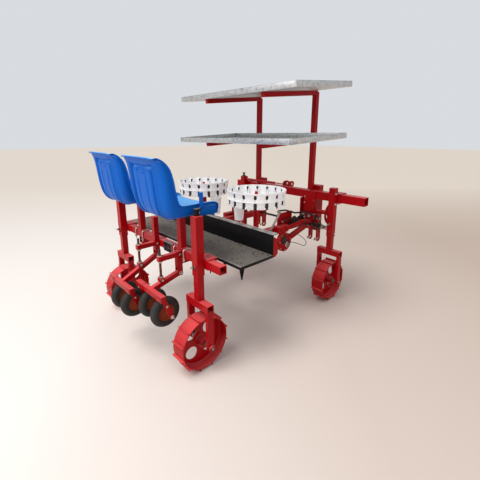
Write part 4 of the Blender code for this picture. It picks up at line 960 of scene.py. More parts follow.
CAROUSEL_HUB = (
    # radius, share of the height down
    (0.016, 0.35), (0.036, 0.36), (0.040, 0.42), (0.040, 0.70), (0.034, 0.75), (0.016, 0.75),
)
CAROUSEL_SPOKES = (
    # half width, foot and top as shares of the height down, bevel
    (0.011, 0.56, 0.50, 0.001),
    (0.002, 0.66, 0.54, 0.0),
)
CAROUSEL_ARMS = 6


class MakeCarousels(bpy.types.Operator):
    """Mould the two carousels of open cups"""
    bl_idname = "transplanter.make_carousels"
    bl_label = "Cup carousels"

    def execute(self, context):
        chosen = context.scene.transplanter_carousel
        for name in ROWS:
            node = "carousel_" + name
            low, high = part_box(node)
            tall = high.z - low.z
            radius = (high.x - low.x) / 2 - 0.002
            settings = {"radius": radius, "inner": chosen.inner, "gap": chosen.gap,
                        "cups": chosen.cups, "wall": chosen.wall}
            shape = bmesh.new()
            bands = []
            for drop, reach in ((0.0, radius), (0.52 * tall, radius * 0.975)):
                foot = -drop - chosen.band
                bands.append([(reach - 0.004, foot), (reach, foot + 0.001),
                              (reach, -drop - 0.0005), (reach - 0.004, -drop - 0.0002)])
            for drop in (CUP_INNER_DROP + 0.004, 0.58 * tall):
                inner, outer = chosen.inner, chosen.inner + 0.003
                bands.append([(inner, -drop - 0.006), (outer, -drop - 0.006), (outer, -drop), (inner, -drop)])
            for band in bands:
                add_turned(shape, band, (0, 0, 0), AXIS_Z, 96)
            add_turned(shape, sided(CAROUSEL_HUB, -tall), (0, 0, 0), AXIS_Z, 40)
            for index in range(chosen.cups):
                angle = 2 * math.pi * index / chosen.cups + CUP_PHASE
                add_cup(shape, settings, angle, tall)
                turn = Matrix.Rotation(angle + math.pi / chosen.cups, 4, "Z")
                # Dark sheets of painted shade in each gap, set back from the cups' outer faces, so the gaps
                # read dark
                for top, foot in CUP_SHADE_SHEET_SPANS:
                    add_spoke(shape, (radius * CUP_SHADE_SHEET - 0.003, -CUP_SHADE_SHEET_HALF, -foot * tall),
                              (radius * CUP_SHADE_SHEET + 0.003, CUP_SHADE_SHEET_HALF, -top * tall), turn, 0.0, 1)
            for index in range(CAROUSEL_ARMS):
                turn = Matrix.Rotation(2 * math.pi * index / CAROUSEL_ARMS, 4, "Z")
                for half, foot, top, bevel in CAROUSEL_SPOKES:
                    add_spoke(shape, (0.036, -half, -foot * tall), (chosen.inner + 0.002, half, -top * tall),
                              turn, bevel)
            middle = middle_of(node)
            bmesh.ops.translate(shape, vec=(middle.x, middle.y, high.z), verts=shape.verts)
            make_piece("cup_ring_" + name, shape, ("white_plastic", "dark_soil_and_painted_shade"),
                       node, "white_plastic", node, smooth=40.0)
        return {"FINISHED"}


FUNNEL_FOOT = 0.68
FUNNEL_WALL = 0.0026
FUNNEL_TAB = 0.0225
FUNNEL_RIM = (
    # inside the radius, below the top
    (0.001, 0.010), (0.0, 0.006), (0.0, 0.002), (0.002, 0.0), (0.005, 0.001), (0.006, 0.012),
)


class MakeFunnels(bpy.types.Operator):
    """Mould the seedling funnels below the carousels"""
    bl_idname = "transplanter.make_funnels"
    bl_label = "Funnels"

    def execute(self, context):
        for name, side in SIDES:
            node = "funnel_" + name
            low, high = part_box(node)
            radius, tall = (high.x - low.x) / 2, high.z - low.z
            inner_y, tab_end = (high.y, low.y) if side < 0 else (low.y, high.y)
            centre = Vector(((low.x + high.x) / 2, inner_y + side * radius, low.z))
            foot = radius * FUNNEL_FOOT
            profile = [(foot - FUNNEL_WALL, 0.0), (foot, 0.0), (foot + 0.0015, 0.004), (foot + 0.001, 0.012)]
            profile += [(foot + (radius - 0.004 - foot) * share, 0.012 + (tall - 0.026) * share)
                        for share in (0.25, 0.5, 0.75, 1.0)]
            profile += [(radius - inset, tall - drop) for inset, drop in FUNNEL_RIM]
            shape = bmesh.new()
            add_turned(shape, profile, centre, AXIS_Z, 56)
            start = centre.y + side * (radius - 0.004)
            add_block(shape, (centre.x - FUNNEL_TAB, start, high.z - 0.004),
                      (centre.x + FUNNEL_TAB, tab_end, high.z), 0.001)
            for reach in (0.30, 0.75):
                add_bolt(shape, (centre.x, start + (tab_end - start) * reach, high.z), AXIS_Z, 0.008, 1, 0.4)
            make_piece("funnel_shell_" + name, shape, ("white_plastic", "bolt_zinc"),
                       ROOT, "white_plastic", node)
        return {"FINISHED"}


DRUM_HOLE_CIRCLE = 0.107
DRUM_HOLE_HALF = 0.048
DRUM_HOLE_STEPS = 28


def hole_outline(middle_angle):
    """A round hole with a flattened outer side, as it is cut beside the rim."""
    x, y = DRUM_HOLE_CIRCLE * math.cos(middle_angle), DRUM_HOLE_CIRCLE * math.sin(middle_angle)
    points = []
    for step in range(DRUM_HOLE_STEPS):
        angle = 2 * math.pi * step / DRUM_HOLE_STEPS
        reach = DRUM_HOLE_HALF * (1.0 - 0.10 * max(0.0, math.cos(angle - middle_angle)) ** 3)
        points.append((x + reach * math.cos(angle), y + reach * math.sin(angle)))
    return points


DRUM_WALL = 0.006
DRUM_EDGE = 0.0015
DRUM_HOLES = 4
DRUM_DISC_OFFSET = 0.012
DRUM_HUB = ((0.013, -0.055), (0.032, -0.055), (0.034, -0.053), (0.034, 0.053), (0.032, 0.055), (0.013, 0.055))
DRUM_COLLAR = ((0.033, 0.003), (0.043, 0.003), (0.037, 0.010), (0.033, 0.011))
DRUM_BEAD = (
    # radius from the wall's inner face, offset from the disc's middle
    (-0.007, 0.003), (0.001, 0.003), (0.001, 0.010), (-0.002, 0.0085),
)
AXLE_NUT = (
    # near end, far end, radius, sides, bevel, turn
    (0.0, 0.003, 0.021, 28, 0.0006, 0.0), (0.002, 0.0145, 0.0172, 6, 0.001, 0.3),
    (0.0, 0.020, 0.0092, 16, 0.001, 0.0),
)


class MakeDrumWheels(bpy.types.Operator):
    """Roll the four drum wheels with their cross bars, discs and hubs"""
    bl_idname = "transplanter.make_drum_wheels"
    bl_label = "Drum wheels"

    def execute(self, context):
        settings = context.scene.transplanter_wheel
        rim, inner = DRUM_RADIUS, DRUM_RADIUS - DRUM_WALL
        for leg in LEGS:
            node = "drum_wheel_" + leg
            low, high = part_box(node)
            centre = Vector((middle_of("wheel_fork_" + leg).x, (low.y + high.y) / 2, DRUM_AXLE_Z))
            half = (high.y - low.y) / 2
            shape = bmesh.new()
            tread = [(inner, -half), (rim - DRUM_EDGE, -half), (rim, -half + DRUM_EDGE),
                     (rim, half - DRUM_EDGE), (rim - DRUM_EDGE, half), (inner, half)]
            add_turned(shape, tread, centre, AXIS_Y, 120)
            holes = [hole_outline((index + 0.5) * math.pi / 2) for index in range(DRUM_HOLES)]
            disc = centre + AXIS_Y * DRUM_DISC_OFFSET
            outline = circle(inner + 0.001, steps=96)
            add_plate(shape, [outline, *holes, circle(0.020)], facing(disc, AXIS_Y), 0.006)
            bead = [(inner + reach, offset) for reach, offset in DRUM_BEAD]
            for way in WAYS:
                add_turned(shape, sided(bead, way), disc, AXIS_Y, 96)
                add_turned(shape, sided(DRUM_COLLAR, way), disc, AXIS_Y, 40)
            add_turned(shape, DRUM_HUB, centre, AXIS_Y, 40)
            size = Vector((settings.lug_thick, 2 * half, settings.lug + 0.002)) / 2
            for index in range(settings.lugs):
                turn = Matrix.Rotation(2 * math.pi * (index + 0.5) / settings.lugs, 4, "Y")
                out = turn @ -AXIS_Z
                add_centred(shape, centre + out * (rim - 0.002 + size.z), size, 0.0012, turn)
                for way in WAYS:
                    side = turn @ Vector((way * (settings.lug_thick / 2 + 0.001), 0.0, 0.0))
                    add_pin(shape, centre + out * (rim + 0.0005) + side, AXIS_Y, 0.012 - half, half - 0.012,
                            0.0026, 6)
            make_piece("drum_shell_" + leg, shape, ("red_paint",), "wheel_" + leg, "red_paint", node)
            shape = bmesh.new()
            for edge, way in zip(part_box("wheel_fork_" + leg), WAYS):
                face = Vector((centre.x, edge.y - way * 0.0145, centre.z))
                for near, far, radius, sides, bevel, turn in AXLE_NUT:
                    add_pin(shape, face, AXIS_Y * way, near, far, radius, sides, bevel, 0, turn)
                add_pin(shape, centre, AXIS_Y * way, 0.056, 0.091, 0.0165, 24)
            make_piece("axle_nuts_" + leg, shape, ("dull_zinc",), ROOT, "bare_steel")
        return {"FINISHED"}


TYRE_FOOT = (
    # radius, share of the half width
    (0.055, 0.60), (0.057, 0.80), (0.064, 0.92),
)
TYRE_RING = ((0.079, 0.92), (0.082, 0.99), (0.085, 0.93))
TYRE_STEPS = 24
TYRE_INNER = 0.075
PRESS_DISH = (
    (0.0105, 0.010), (0.020, 0.010), (0.024, 0.006), (0.040, 0.006), (0.046, 0.016), (0.051, 0.025),
    (0.056, 0.0275), (0.0585, 0.0265), (0.0555, 0.022), (0.050, 0.010), (0.042, 0.001), (0.0105, 0.001),
)
PRESS_HUB = ((0.0102, 0.002), (0.019, 0.002), (0.019, 0.024), (0.017, 0.026), (0.0102, 0.026))


def tyre_profile(radius, half, groove):
    """The section of a round tyre with three shallow grooves in its tread."""
    foot = sided(TYRE_FOOT, half)
    profile = sided(foot, -1)
    for step in range(TYRE_STEPS + 1):
        angle = -math.pi / 2 + math.pi * step / TYRE_STEPS
        reach = radius - half + half * math.cos(angle)
        wide = half * math.copysign(abs(math.sin(angle)) ** 0.9, math.sin(angle))
        from_middle = abs(step - TYRE_STEPS // 2)
        if reach > TYRE_INNER:
            profile.append((reach - (groove if from_middle in (0, 3) else 0.0), wide))
    return profile + foot[::-1]


class MakePressWheels(bpy.types.Operator):
    """Make the tyres, rims and axle of the press wheels"""
    bl_idname = "transplanter.make_press_wheels"
    bl_label = "Press wheels"

    def execute(self, context):
        groove = context.scene.transplanter_wheel.tread
        for name in ROWS:
            body, node = "press_wheels_" + name, "press_axle_" + name
            axle = middle_of(node)
            ends = [edge.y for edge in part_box(node)]
            rims = bmesh.new()
            for letter in ROWS:
                tyre_node = "press_tyre_%s_%s" % (name, letter)
                low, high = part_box(tyre_node)
                centre = (low + high) / 2
                half = (high.y - low.y) / 2
                shape = bmesh.new()
                add_turned(shape, tyre_profile((high.z - low.z) / 2, half, groove), centre, AXIS_Y, 72)
                for way in WAYS:
                    add_turned(shape, sided(TYRE_RING, way * half), centre, AXIS_Y, 64)
                tyre = to_object("tyre_%s_%s" % (name, letter), shape, ("rubber",), 50.0)
                settle(tyre, body, "rubber", tyre_node)
                for way in WAYS:
                    add_turned(rims, sided(PRESS_DISH, way), centre, AXIS_Y, 56)
                    add_turned(rims, sided(PRESS_HUB, way), centre, AXIS_Y, 28)
                    for spot in around(centre + AXIS_Y * way * 0.006, 0.032, 4, math.pi / 4):
                        add_bolt(rims, spot, AXIS_Y * way, 0.0055, 1, 0.5)
                add_pin(rims, centre, AXIS_Y, -0.024, 0.024, 0.050, 48)
            add_rod(rims, (axle.x, ends[0], axle.z), (axle.x, ends[1], axle.z), 0.009, 20, 0.001, 1)
            for edge, way in zip(ends, WAYS):
                for inset in (0.008, 0.030):
                    nut = Vector((axle.x, edge - way * inset, axle.z))
                    add_pin(rims, nut, -AXIS_Y * way, 0.0, 0.007, 0.0155, 6, 0.0008, 1)
            make_piece("press_rims_" + name, rims, ("orange_rim", "bolt_zinc"), body, "orange_rim", node)
        return {"FINISHED"}


TRAYS = (
    # name, rear edge X, rear top Z, rise to the front
    ("upper", 0.757, 1.973, 0.076),
    ("lower", 0.728, 1.571, 0.046),
)
TRAY_LONG, TRAY_HALF, TRAY_DEEP = 0.785, 0.733, 0.0465
TRAY_WALL, TRAY_HEM, TRAY_SEAM = 0.0018, 0.006, 0.0009
TRAY_FOLDS = (
    # thickness, foot, top: the walls, then the hems along their upper edges
    (TRAY_WALL, -TRAY_DEEP, 0.0),
    (TRAY_HEM, -TRAY_WALL, 0.0003),
)


class MakeTrays(bpy.types.Operator):
    """Fold the two galvanised trays, with hemmed rims and corner seams"""
    bl_idname = "transplanter.make_trays"
    bl_label = "Trays"

    def execute(self, context):
        for name, rear_x, rear_top, rise in TRAYS:
            shape = bmesh.new()
            add_block(shape, (0.0, -TRAY_HALF, -TRAY_DEEP),
                      (TRAY_LONG, TRAY_HALF, TRAY_WALL - TRAY_DEEP), 0.0006)
            for thick, foot, top in TRAY_FOLDS:
                for x in (0.0, TRAY_LONG - thick):
                    add_block(shape, (x, -TRAY_HALF, foot), (x + thick, TRAY_HALF, top), 0.0005)
                for y in (-TRAY_HALF, TRAY_HALF - thick):
                    add_block(shape, (thick, y, foot), (TRAY_LONG - thick, y + thick, top), 0.0005)
            for x in (0.0, TRAY_LONG):
                for way in WAYS:
                    add_block(shape, (x - TRAY_SEAM, way * (TRAY_HALF + TRAY_SEAM), -TRAY_DEEP),
                              (x + TRAY_SEAM, way * (TRAY_HALF - 0.014), -0.002), 0.0003)
            tilt = Matrix.Rotation(-math.asin(rise / TRAY_LONG), 4, "Y")
            place = Matrix.Translation(at(rear_x, 0.0, rear_top))
            bmesh.ops.transform(shape, matrix=place @ tilt, verts=shape.verts)
            make_piece("tray_sheet_" + name, shape, ("galvanised_sheet",),
                       ROOT, "galvanised_sheet", "tray_" + name, smooth=30.0)
        return {"FINISHED"}


DECK_PROUD = 0.0012
DECK_OVER = 0.0006


class MakeDeck(bpy.types.Operator):
    """Edge the deck with black skirts and strew it with dry soil"""
    bl_idname = "transplanter.make_deck"
    bl_label = "Deck"

    def execute(self, context):
        low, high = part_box("platform")
        shape = bmesh.new()
        foot, top = low.z + 0.0005, high.z + DECK_OVER
        add_block(shape, (low.x - DECK_PROUD, low.y - DECK_PROUD, foot),
                  (low.x, high.y + DECK_PROUD, top), 0.0004)
        for edge, way in ((low, -1), (high, 1)):
            add_block(shape, (low.x, edge.y, foot), (high.x, edge.y + way * DECK_PROUD, top), 0.0004)
        add_block(shape, (low.x, low.y, high.z), (low.x + 0.010, high.y, top))
        make_piece("deck_skirt", shape, ("black_paint",), ROOT, "black_paint")
        picks = random.Random(11)
        shape = bmesh.new()
        for count, least, most, flat, narrow, dark_share in DECK_LITTER:
            for _ in range(count):
                x = picks.uniform(low.x + 0.02, high.x - 0.012)
                y = picks.uniform(low.y + 0.02, high.y - 0.02)
                if picks.random() < 0.55:
                    x = max(high.x - 0.008 - abs(picks.gauss(0.0, 0.07)), low.x + 0.02)
                size = picks.uniform(least, most)
                place = Matrix.Translation((x, y, high.z + size * flat * 0.4))
                place = place @ Matrix.Rotation(picks.uniform(0, math.tau), 4, "Z")
                place = place @ Matrix.Diagonal((size, size * picks.uniform(narrow, 1.0), size * flat, 1.0))
                made = bmesh.ops.create_icosphere(shape, subdivisions=1, radius=1.0, matrix=place)["verts"]
                paint_faces(made, 0 if picks.random() < dark_share else 1)
        make_piece("deck_crumbs", shape, ("dark_soil_and_painted_shade", "dry_soil"), ROOT, "dusty_plate", smooth=60.0)
        return {"FINISHED"}


KICK_SHEET, KICK_FOLD = 0.004, 0.005
KICK_GUSSET = (
    # shares of the plate's depth and height
    (0.0, 0.0), (0.55, 0.0), (0.95, 0.10), (0.99, 0.45), (0.60, 0.80), (0.0, 0.93),
)


class MakeKickplate(bpy.types.Operator):
    """Fold the black kickplate with its flange, and the red gussets behind its ends"""
    bl_idname = "transplanter.make_kickplate"
    bl_label = "Kickplate"

    def execute(self, context):
        low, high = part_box("kickplate")
        part = KICK_FOLD * 0.3
        inner_x, inner_z = low.x + KICK_SHEET, high.z - KICK_SHEET
        profile = [(low.x, low.z), (inner_x, low.z), (inner_x, inner_z - KICK_FOLD),
                   (inner_x + part, inner_z - part), (inner_x + KICK_FOLD, inner_z),
                   (high.x, inner_z), (high.x, high.z), (low.x + KICK_FOLD, high.z),
                   (low.x + part, high.z - part), (low.x, high.z - KICK_FOLD)]
        shape = bmesh.new()
        ends = [[shape.verts.new((x, y, z)) for x, z in profile] for y in (low.y, high.y)]
        loft(shape, ends)
        for end in ends:
            shape.faces.new(end)
        make_piece("kick_sheet", shape, ("black_paint",), ROOT, "black_paint", "kickplate", smooth=30.0)
        shape = bmesh.new()
        tall, deep = high.z - low.z, high.x - low.x
        for y in (low.y + 0.006, high.y - 0.006):
            rings = [[shape.verts.new((inner_x + deep * x, face_y, low.z + tall * z)) for x, z in KICK_GUSSET]
                     for face_y in (y - 0.002, y + 0.002)]
            loft(shape, rings)
            for ring in rings:
                shape.faces.new(ring)
        make_piece("kick_gussets", shape, ("red_paint",), ROOT, "red_paint", smooth=30.0)
        return {"FINISHED"}


def add_thread(shape, x, y, low, high, radius, slot=0):
    """A threaded rod: a core with a helical ridge."""
    end = radius * 0.3
    add_rod(shape, (x, y, low), (x, y, high), radius * 0.86, 14, slot=slot)
    add_helix(shape, (x, y, low + end), (x, y, high - end), radius * 0.88, radius * 0.14,
              int((high - low) / (radius * 0.55)), slot)


class MakePressFittings(bpy.types.Operator):
    """Add threaded rods, pivots, sleeves and bolts to the press wheel units"""
    bl_idname = "transplanter.make_press_fittings"
    bl_label = "Press unit fittings"

    def execute(self, context):
        beam = middle_of("rear_beam").z
        top = beam + PRESS_BRACKET / 2
        sleeve = PRESS_CROSS / 2 + 0.0018
        for name in ROWS:
            hanger_low, hanger_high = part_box("press_hanger_" + name)
            arm_low, arm_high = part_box("press_arm_" + name)
            axle = middle_of("press_axle_" + name)
            y = (hanger_low.y + hanger_high.y) / 2
            x = hanger_low.x + PRESS_BRACKET / 2
            hinge_x = hanger_high.x - PRESS_HANGER / 2
            hinge_z, cross_x, cross_z = PRESS_UNITS[name]
            cross_x = x_at(cross_x)
            slope = (hinge_z - cross_z) / (hinge_x - cross_x)
            foot = hinge_z + slope * (x - hinge_x) + PRESS_ARM * 0.62
            shape = bmesh.new()
            add_thread(shape, x, y, foot, top - PRESS_BRACKET - 0.0005, PRESS_ROD + 0.0012)
            add_thread(shape, x, y, top + 0.0005, top + 0.052, PRESS_ROD + 0.0008)
            for z in (top, top - PRESS_BRACKET - 0.011, foot + 0.024):
                add_pin(shape, Vector((x, y, z)), AXIS_Z, 0.0, 0.011, 0.0165, 6, 0.0008, 1)
            add_centred(shape, Vector((x, y, foot + 0.009)), PRESS_PIVOT_HALF, 0.002, slot=2)
            half, middle = (arm_high.y - arm_low.y) / 2, (arm_high.y + arm_low.y) / 2
            for way in WAYS:
                out = AXIS_Y * way
                hinge_y = y + way * PRESS_HANGER / 2
                outer = middle + way * (half + 0.0014)
                for place, size, stub in (
                        ((x, y + way * PRESS_PIVOT_HALF[1], foot + 0.008), 0.0095, 0.5),
                        ((hinge_x, hinge_y + way * 0.0005, hinge_z), 0.0125, 0.6),
                        ((hinge_x, hinge_y, beam), 0.0085, 0.6),
                        ((axle.x, outer, axle.z), 0.0125, 1.0),
                        (Vector((axle.x, outer, axle.z)).lerp((cross_x, outer, cross_z), 0.62), 0.008, 0.5)):
                    add_bolt(shape, place, out, size, 1, stub)
                inner_y, outer_y = middle + way * (half - 0.092), middle + way * (half + 0.0012)
                add_block(shape, (cross_x - sleeve, inner_y, cross_z - sleeve),
                          (cross_x + sleeve, outer_y, cross_z + sleeve), 0.0018, slot=2)
            make_piece("press_fittings_" + name, shape, ("oily_steel", "bolt_zinc", "red_paint"),
                       ROOT, "bare_steel")
        return {"FINISHED"}


U_BOLT_WIRE = 0.0048
LOCK_BOLT = (
    # length, radius, sides, slot: collar, hexagon and thread
    (0.006, 0.0125, 24, 1), (0.020, 0.0105, 6, 2), (0.034, 0.0052, 12, 0),
)


class MakeBeamFittings(bpy.types.Operator):
    """Add U bolts, clamps, lock bolts and screws to the beams and legs"""
    bl_idname = "transplanter.make_beam_fittings"
    bl_label = "Beam fittings"

    def execute(self, context):
        shape = bmesh.new()
        beam = middle_of("rear_beam")
        top, foot = beam.z + BEAM_HALF, beam.z - BEAM_HALF
        rear, front = x_at(0.0), x_at(2 * BEAM_HALF)
        rear_wire, front_wire, top_wire = rear - U_BOLT_WIRE, front + U_BOLT_WIRE, top + U_BOLT_WIRE
        u_bolt = ((rear_wire, foot - 0.030), (rear_wire, top - 0.004), (rear + 0.002, top_wire),
                  (front - 0.002, top_wire), (front_wire, top - 0.004), (front_wire, foot - 0.030))
        for name in ROWS:
            post = middle_of("seat_post_" + name)
            for way in WAYS:
                y = post.y + way * 0.063
                add_sweep(shape, [(x, y, z) for x, z in u_bolt], U_BOLT_WIRE, 10)
                add_block(shape, (rear - 0.014, y - 0.013, foot - 0.0055),
                          (front + 0.014, y + 0.013, foot - 0.0005), 0.001, slot=1)
                for x in (rear_wire, front_wire):
                    add_pin(shape, Vector((x, y, foot)), -AXIS_Z, 0.006, 0.015, 0.0098, 6, 0.0006)
                plate_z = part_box("seat_post_" + name)[1].z - 0.006
                for way_y in WAYS:
                    add_bolt(shape, (post.x + way * 0.070, post.y + way_y * 0.070, plate_z), -AXIS_Z, 0.009)
        front_beam = middle_of("front_beam").z
        for leg in LEGS:
            out = -AXIS_Y if leg.endswith("right") else AXIS_Y
            low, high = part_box("wheel_fork_" + leg)
            centre = (low + high) / 2
            z = beam.z - 0.012 if leg.startswith("rear") else front_beam - 0.245
            place = Vector((centre.x - SLEEVE_HALF - 0.0005, centre.y, z))
            for long, radius, sides, slot in LOCK_BOLT:
                add_pin(shape, place, -AXIS_X, 0.0, long, radius, sides, 0.0008, slot)
            if leg.startswith("front"):
                for z_bolt in (front_beam + BEAM_HALF + 0.020, front_beam - BEAM_HALF - 0.022):
                    for x_bolt in (-0.012, 0.040):
                        spot = Vector((centre.x + x_bolt, centre.y, z_bolt)) + out * (SLEEVE_HALF + 0.0005)
                        add_bolt(shape, spot, out, 0.0105, 0, 0.9)
            if leg == "front_right":
                pin = Vector((centre.x, centre.y, low.z + 0.50))
                add_pin(shape, pin, out, 0.0255, 0.0455, 0.006, 12, 0.0006)
        near, far = (y_at(y) for y in BRACE_Y)
        add_block(shape, (rear - 0.004, near, top + 0.0002), (front * 0.55 + rear * 0.45, far, top + 0.0042),
                  0.001, slot=3)
        add_block(shape, (rear - 0.0045, near, foot - 0.012), (rear - 0.0005, far, top + 0.004),
                  0.001, slot=3)
        for y in (near + 0.022, far - 0.022):
            add_bolt(shape, (rear - 0.0045, y, beam.z), -AXIS_X, 0.0095, 2, 0.5)
        sleeve = "leg_sleeve_front_left"
        screw = Vector((middle_of(sleeve).x, middle_of("wheel_fork_front_left").y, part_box(sleeve)[1].z))
        add_pin(shape, screw, AXIS_Z, 0.0, 0.012, 0.022, 6, 0.001, 3)
        add_thread(shape, screw.x, screw.y, screw.z + 0.012, screw.z + 0.045, 0.011, 3)
        add_pin(shape, screw, AXIS_Z, 0.030, 0.041, 0.018, 6, 0.001, 3)
        make_piece("beam_fittings", shape, ("bolt_zinc", "red_paint", "oily_steel", "black_paint"),
                   ROOT, "bare_steel")
        return {"FINISHED"}


SHAFT_COLLARS = (-0.610, -0.560)
IDLERS = (
    # Y, Z of the small sprockets by the head
    (-0.348, 0.784), (-0.500, 0.796),
)
SPRING_ROD = ((1.150, -0.352, 0.716), (1.462, -0.352, 0.810))
SPRING_ENDS = ((1.215, -0.352, 0.735), (1.430, -0.352, 0.800))
CHAIN_LINKS = 13
CHAIN_HALF = (0.011, 0.006, 0.0045)
SLOT_BAR = ((0.969, -0.336, 0.721), (1.105, -0.336, 0.883))
SLOT_BAR_HALF = 0.013
SLOT_BAR_HOLES = 8


class MakeDriveLine(bpy.types.Operator):
    """Make the cross shaft with its sprockets, chain, springs and greasy bolts"""
    bl_idname = "transplanter.make_drive_line"
    bl_label = "Drive line"

    def execute(self, context):
        low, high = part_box("drive_shaft")
        axis = middle_of("drive_shaft")
        shape = bmesh.new()
        add_rod(shape, (axis.x, low.y, axis.z), (axis.x, high.y, axis.z), 0.0115, 18, 0.001)
        for offset, radius, teeth, thick in SPROCKETS:
            centre = Vector((axis.x, y_at(offset), axis.z))
            add_sprocket(shape, centre, AXIS_Y, radius, teeth, thick)
            add_pin(shape, centre + AXIS_Y * thick, AXIS_X, 0.0, radius * 0.52, 0.004, 8, slot=1)
        for offset in SHAFT_COLLARS:
            centre = Vector((axis.x, y_at(offset), axis.z))
            add_pin(shape, centre, AXIS_Y, -0.014, 0.014, 0.023, 24, 0.0015, 1)
        make_piece("cross_shaft", shape, ("oily_steel", "bolt_zinc"), ROOT, "bare_steel", "drive_shaft")
        shape = bmesh.new()
        for y, z in IDLERS:
            centre = at(1.462, y, z)
            add_sprocket(shape, centre, AXIS_Y, 0.026, 11, 0.006)
            for way in WAYS:
                add_pin(shape, centre, AXIS_Y * way, 0.0, 0.020, 0.0075, 12, 0.0008, 1)
        for index in range(3):
            place = at(1.46, -0.364 - 0.0545 * index, 0.786 + 0.0175 * index)
            add_bolt(shape, place, (-0.9, -0.3, 0.25), 0.0118, 1, 0.8)
            add_rod(shape, place, place + Vector((0.030, 0.010, -0.010)), 0.011, 14)
        add_block(shape, at(1.468, -0.520, 0.770), at(1.476, -0.330, 0.835), 0.002, slot=2)
        for radius, route in DRIVE_LEVERS:
            add_sweep(shape, [at(*point) for point in route], radius, 10)
            for point in (route[0], route[-1]):
                add_bolt(shape, at(*point), -AXIS_Y, radius * 1.4, 1, 0.8)
        add_helix(shape, at(*SPRING_ENDS[0]), at(*SPRING_ENDS[1]), 0.0135, 0.0032, 20)
        rod_ends = [at(*point) for point in SPRING_ROD]
        add_rod(shape, *rod_ends, 0.0055, 12)
        for start in rod_ends:
            add_pin(shape, start, AXIS_Y, -0.012, 0.012, 0.012, 18, 0.001, 1)
        for step in range(CHAIN_LINKS):
            share = step / (CHAIN_LINKS - 1)
            sag = 0.030 * math.sin(share * math.pi)
            centre = at(1.20 + 0.24 * share, -0.345, 0.690 + sag + 0.045 * share)
            turn = Matrix.Rotation(0.5 * math.cos(step * 1.3), 4, "Y")
            add_centred(shape, centre, CHAIN_HALF, 0.0015, turn)
        bar_low, bar_high = (at(*point) for point in SLOT_BAR)
        along = bar_high - bar_low
        half = along.length / 2
        along.normalize()
        wide = SLOT_BAR_HALF
        loops = [[(-half, -wide), (half, -wide), (half, wide), (-half, wide)]]
        loops += [circle(0.0042, half * ((2 * index + 1) / SLOT_BAR_HOLES - 1), 0.0, 12)
                  for index in range(SLOT_BAR_HOLES)]
        face = Matrix.Translation((bar_low + bar_high) / 2) @ turned_to(along, AXIS_Y.cross(along), -AXIS_Y)
        add_plate(shape, loops, face, 0.004, 3)
        for spot in (bar_low, bar_high):
            add_bolt(shape, spot - AXIS_Y * 0.002, -AXIS_Y, 0.008, 1, 0.5)
            add_pin(shape, spot, AXIS_Y, 0.0, 0.034, 0.006, 10)
        make_piece("drive_fittings", shape, ("oily_steel", "bolt_zinc", "red_paint", "galvanised_sheet"),
                   ROOT, "bare_steel")
        return {"FINISHED"}


CASE_RIM = ((0.086, 0.0), (0.092, 0.0), (0.092, 0.0035), (0.090, 0.005), (0.086, 0.005))
CASE_BEARING = ((0.008, 0.0), (0.031, 0.0), (0.031, 0.005), (0.026, 0.008), (0.014, 0.009), (0.008, 0.009))
CASE_SEAL = ((0.016, 0.0085), (0.024, 0.0085), (0.020, 0.012))
CASE_WINDOW = (-0.010, 0.022)


class MakeCaseFittings(bpy.types.Operator):
    """Add windows, bearings, bolts and brackets to the chain cases"""
    bl_idname = "transplanter.make_case_fittings"
    bl_label = "Chain case fittings"

    def execute(self, context):
        window_x, window_z = CASE_WINDOW
        for name, side in SIDES:
            low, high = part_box("chain_case_" + name)
            face = low.y if side < 0 else high.y
            out = AXIS_Y * side
            centre = Vector((x_at(CASE_X), face, CASE_Z))
            shape = bmesh.new()
            add_turned(shape, CASE_RIM, centre, out, 56)
            window = circle(0.044, window_x, window_z, 28)
            add_plate(shape, [window], facing(centre + out * 0.0008, out), 0.0012, 1)
            hub = centre + out * 0.003 + Vector((window_x, 0.0, window_z))
            add_sprocket(shape, hub, out, 0.036, 14, 0.003, 1)
            bearing = centre + Vector((0.040, 0.0, -0.034))
            add_turned(shape, CASE_BEARING, bearing, out, 36, 2)
            add_turned(shape, CASE_SEAL, bearing, out, 28, 1)
            for spot in around(centre, 0.079, 7, 0.3):
                add_bolt(shape, spot, out, 0.0062, 2, 0.5)
            block_low, block_high = at(1.020, 0.0, 0.700), at(1.165, 0.0, 0.765)
            add_block(shape, (block_low.x, face, block_low.z),
                      (block_high.x, face - side * 0.064, block_high.z), 0.003)
            for x in (0.030, 0.110):
                add_bolt(shape, (block_low.x + x, face, block_low.z + 0.033), out, 0.009, 1)
            start, end = at(1.120, 0.0, 0.735), at(1.470, 0.0, 0.765)
            middle = (start + end) / 2
            middle.y = face + side * 0.0015
            tilt = Matrix.Rotation(-math.atan2(end.z - start.z, end.x - start.x), 4, "Y")
            add_centred(shape, middle, ((end - start).length / 2, 0.003, 0.021), 0.0012, tilt)
            make_piece("case_fittings_" + name, shape, ("red_paint", "oily_steel", "bolt_zinc"),
                       ROOT, "red_paint")
        return {"FINISHED"}


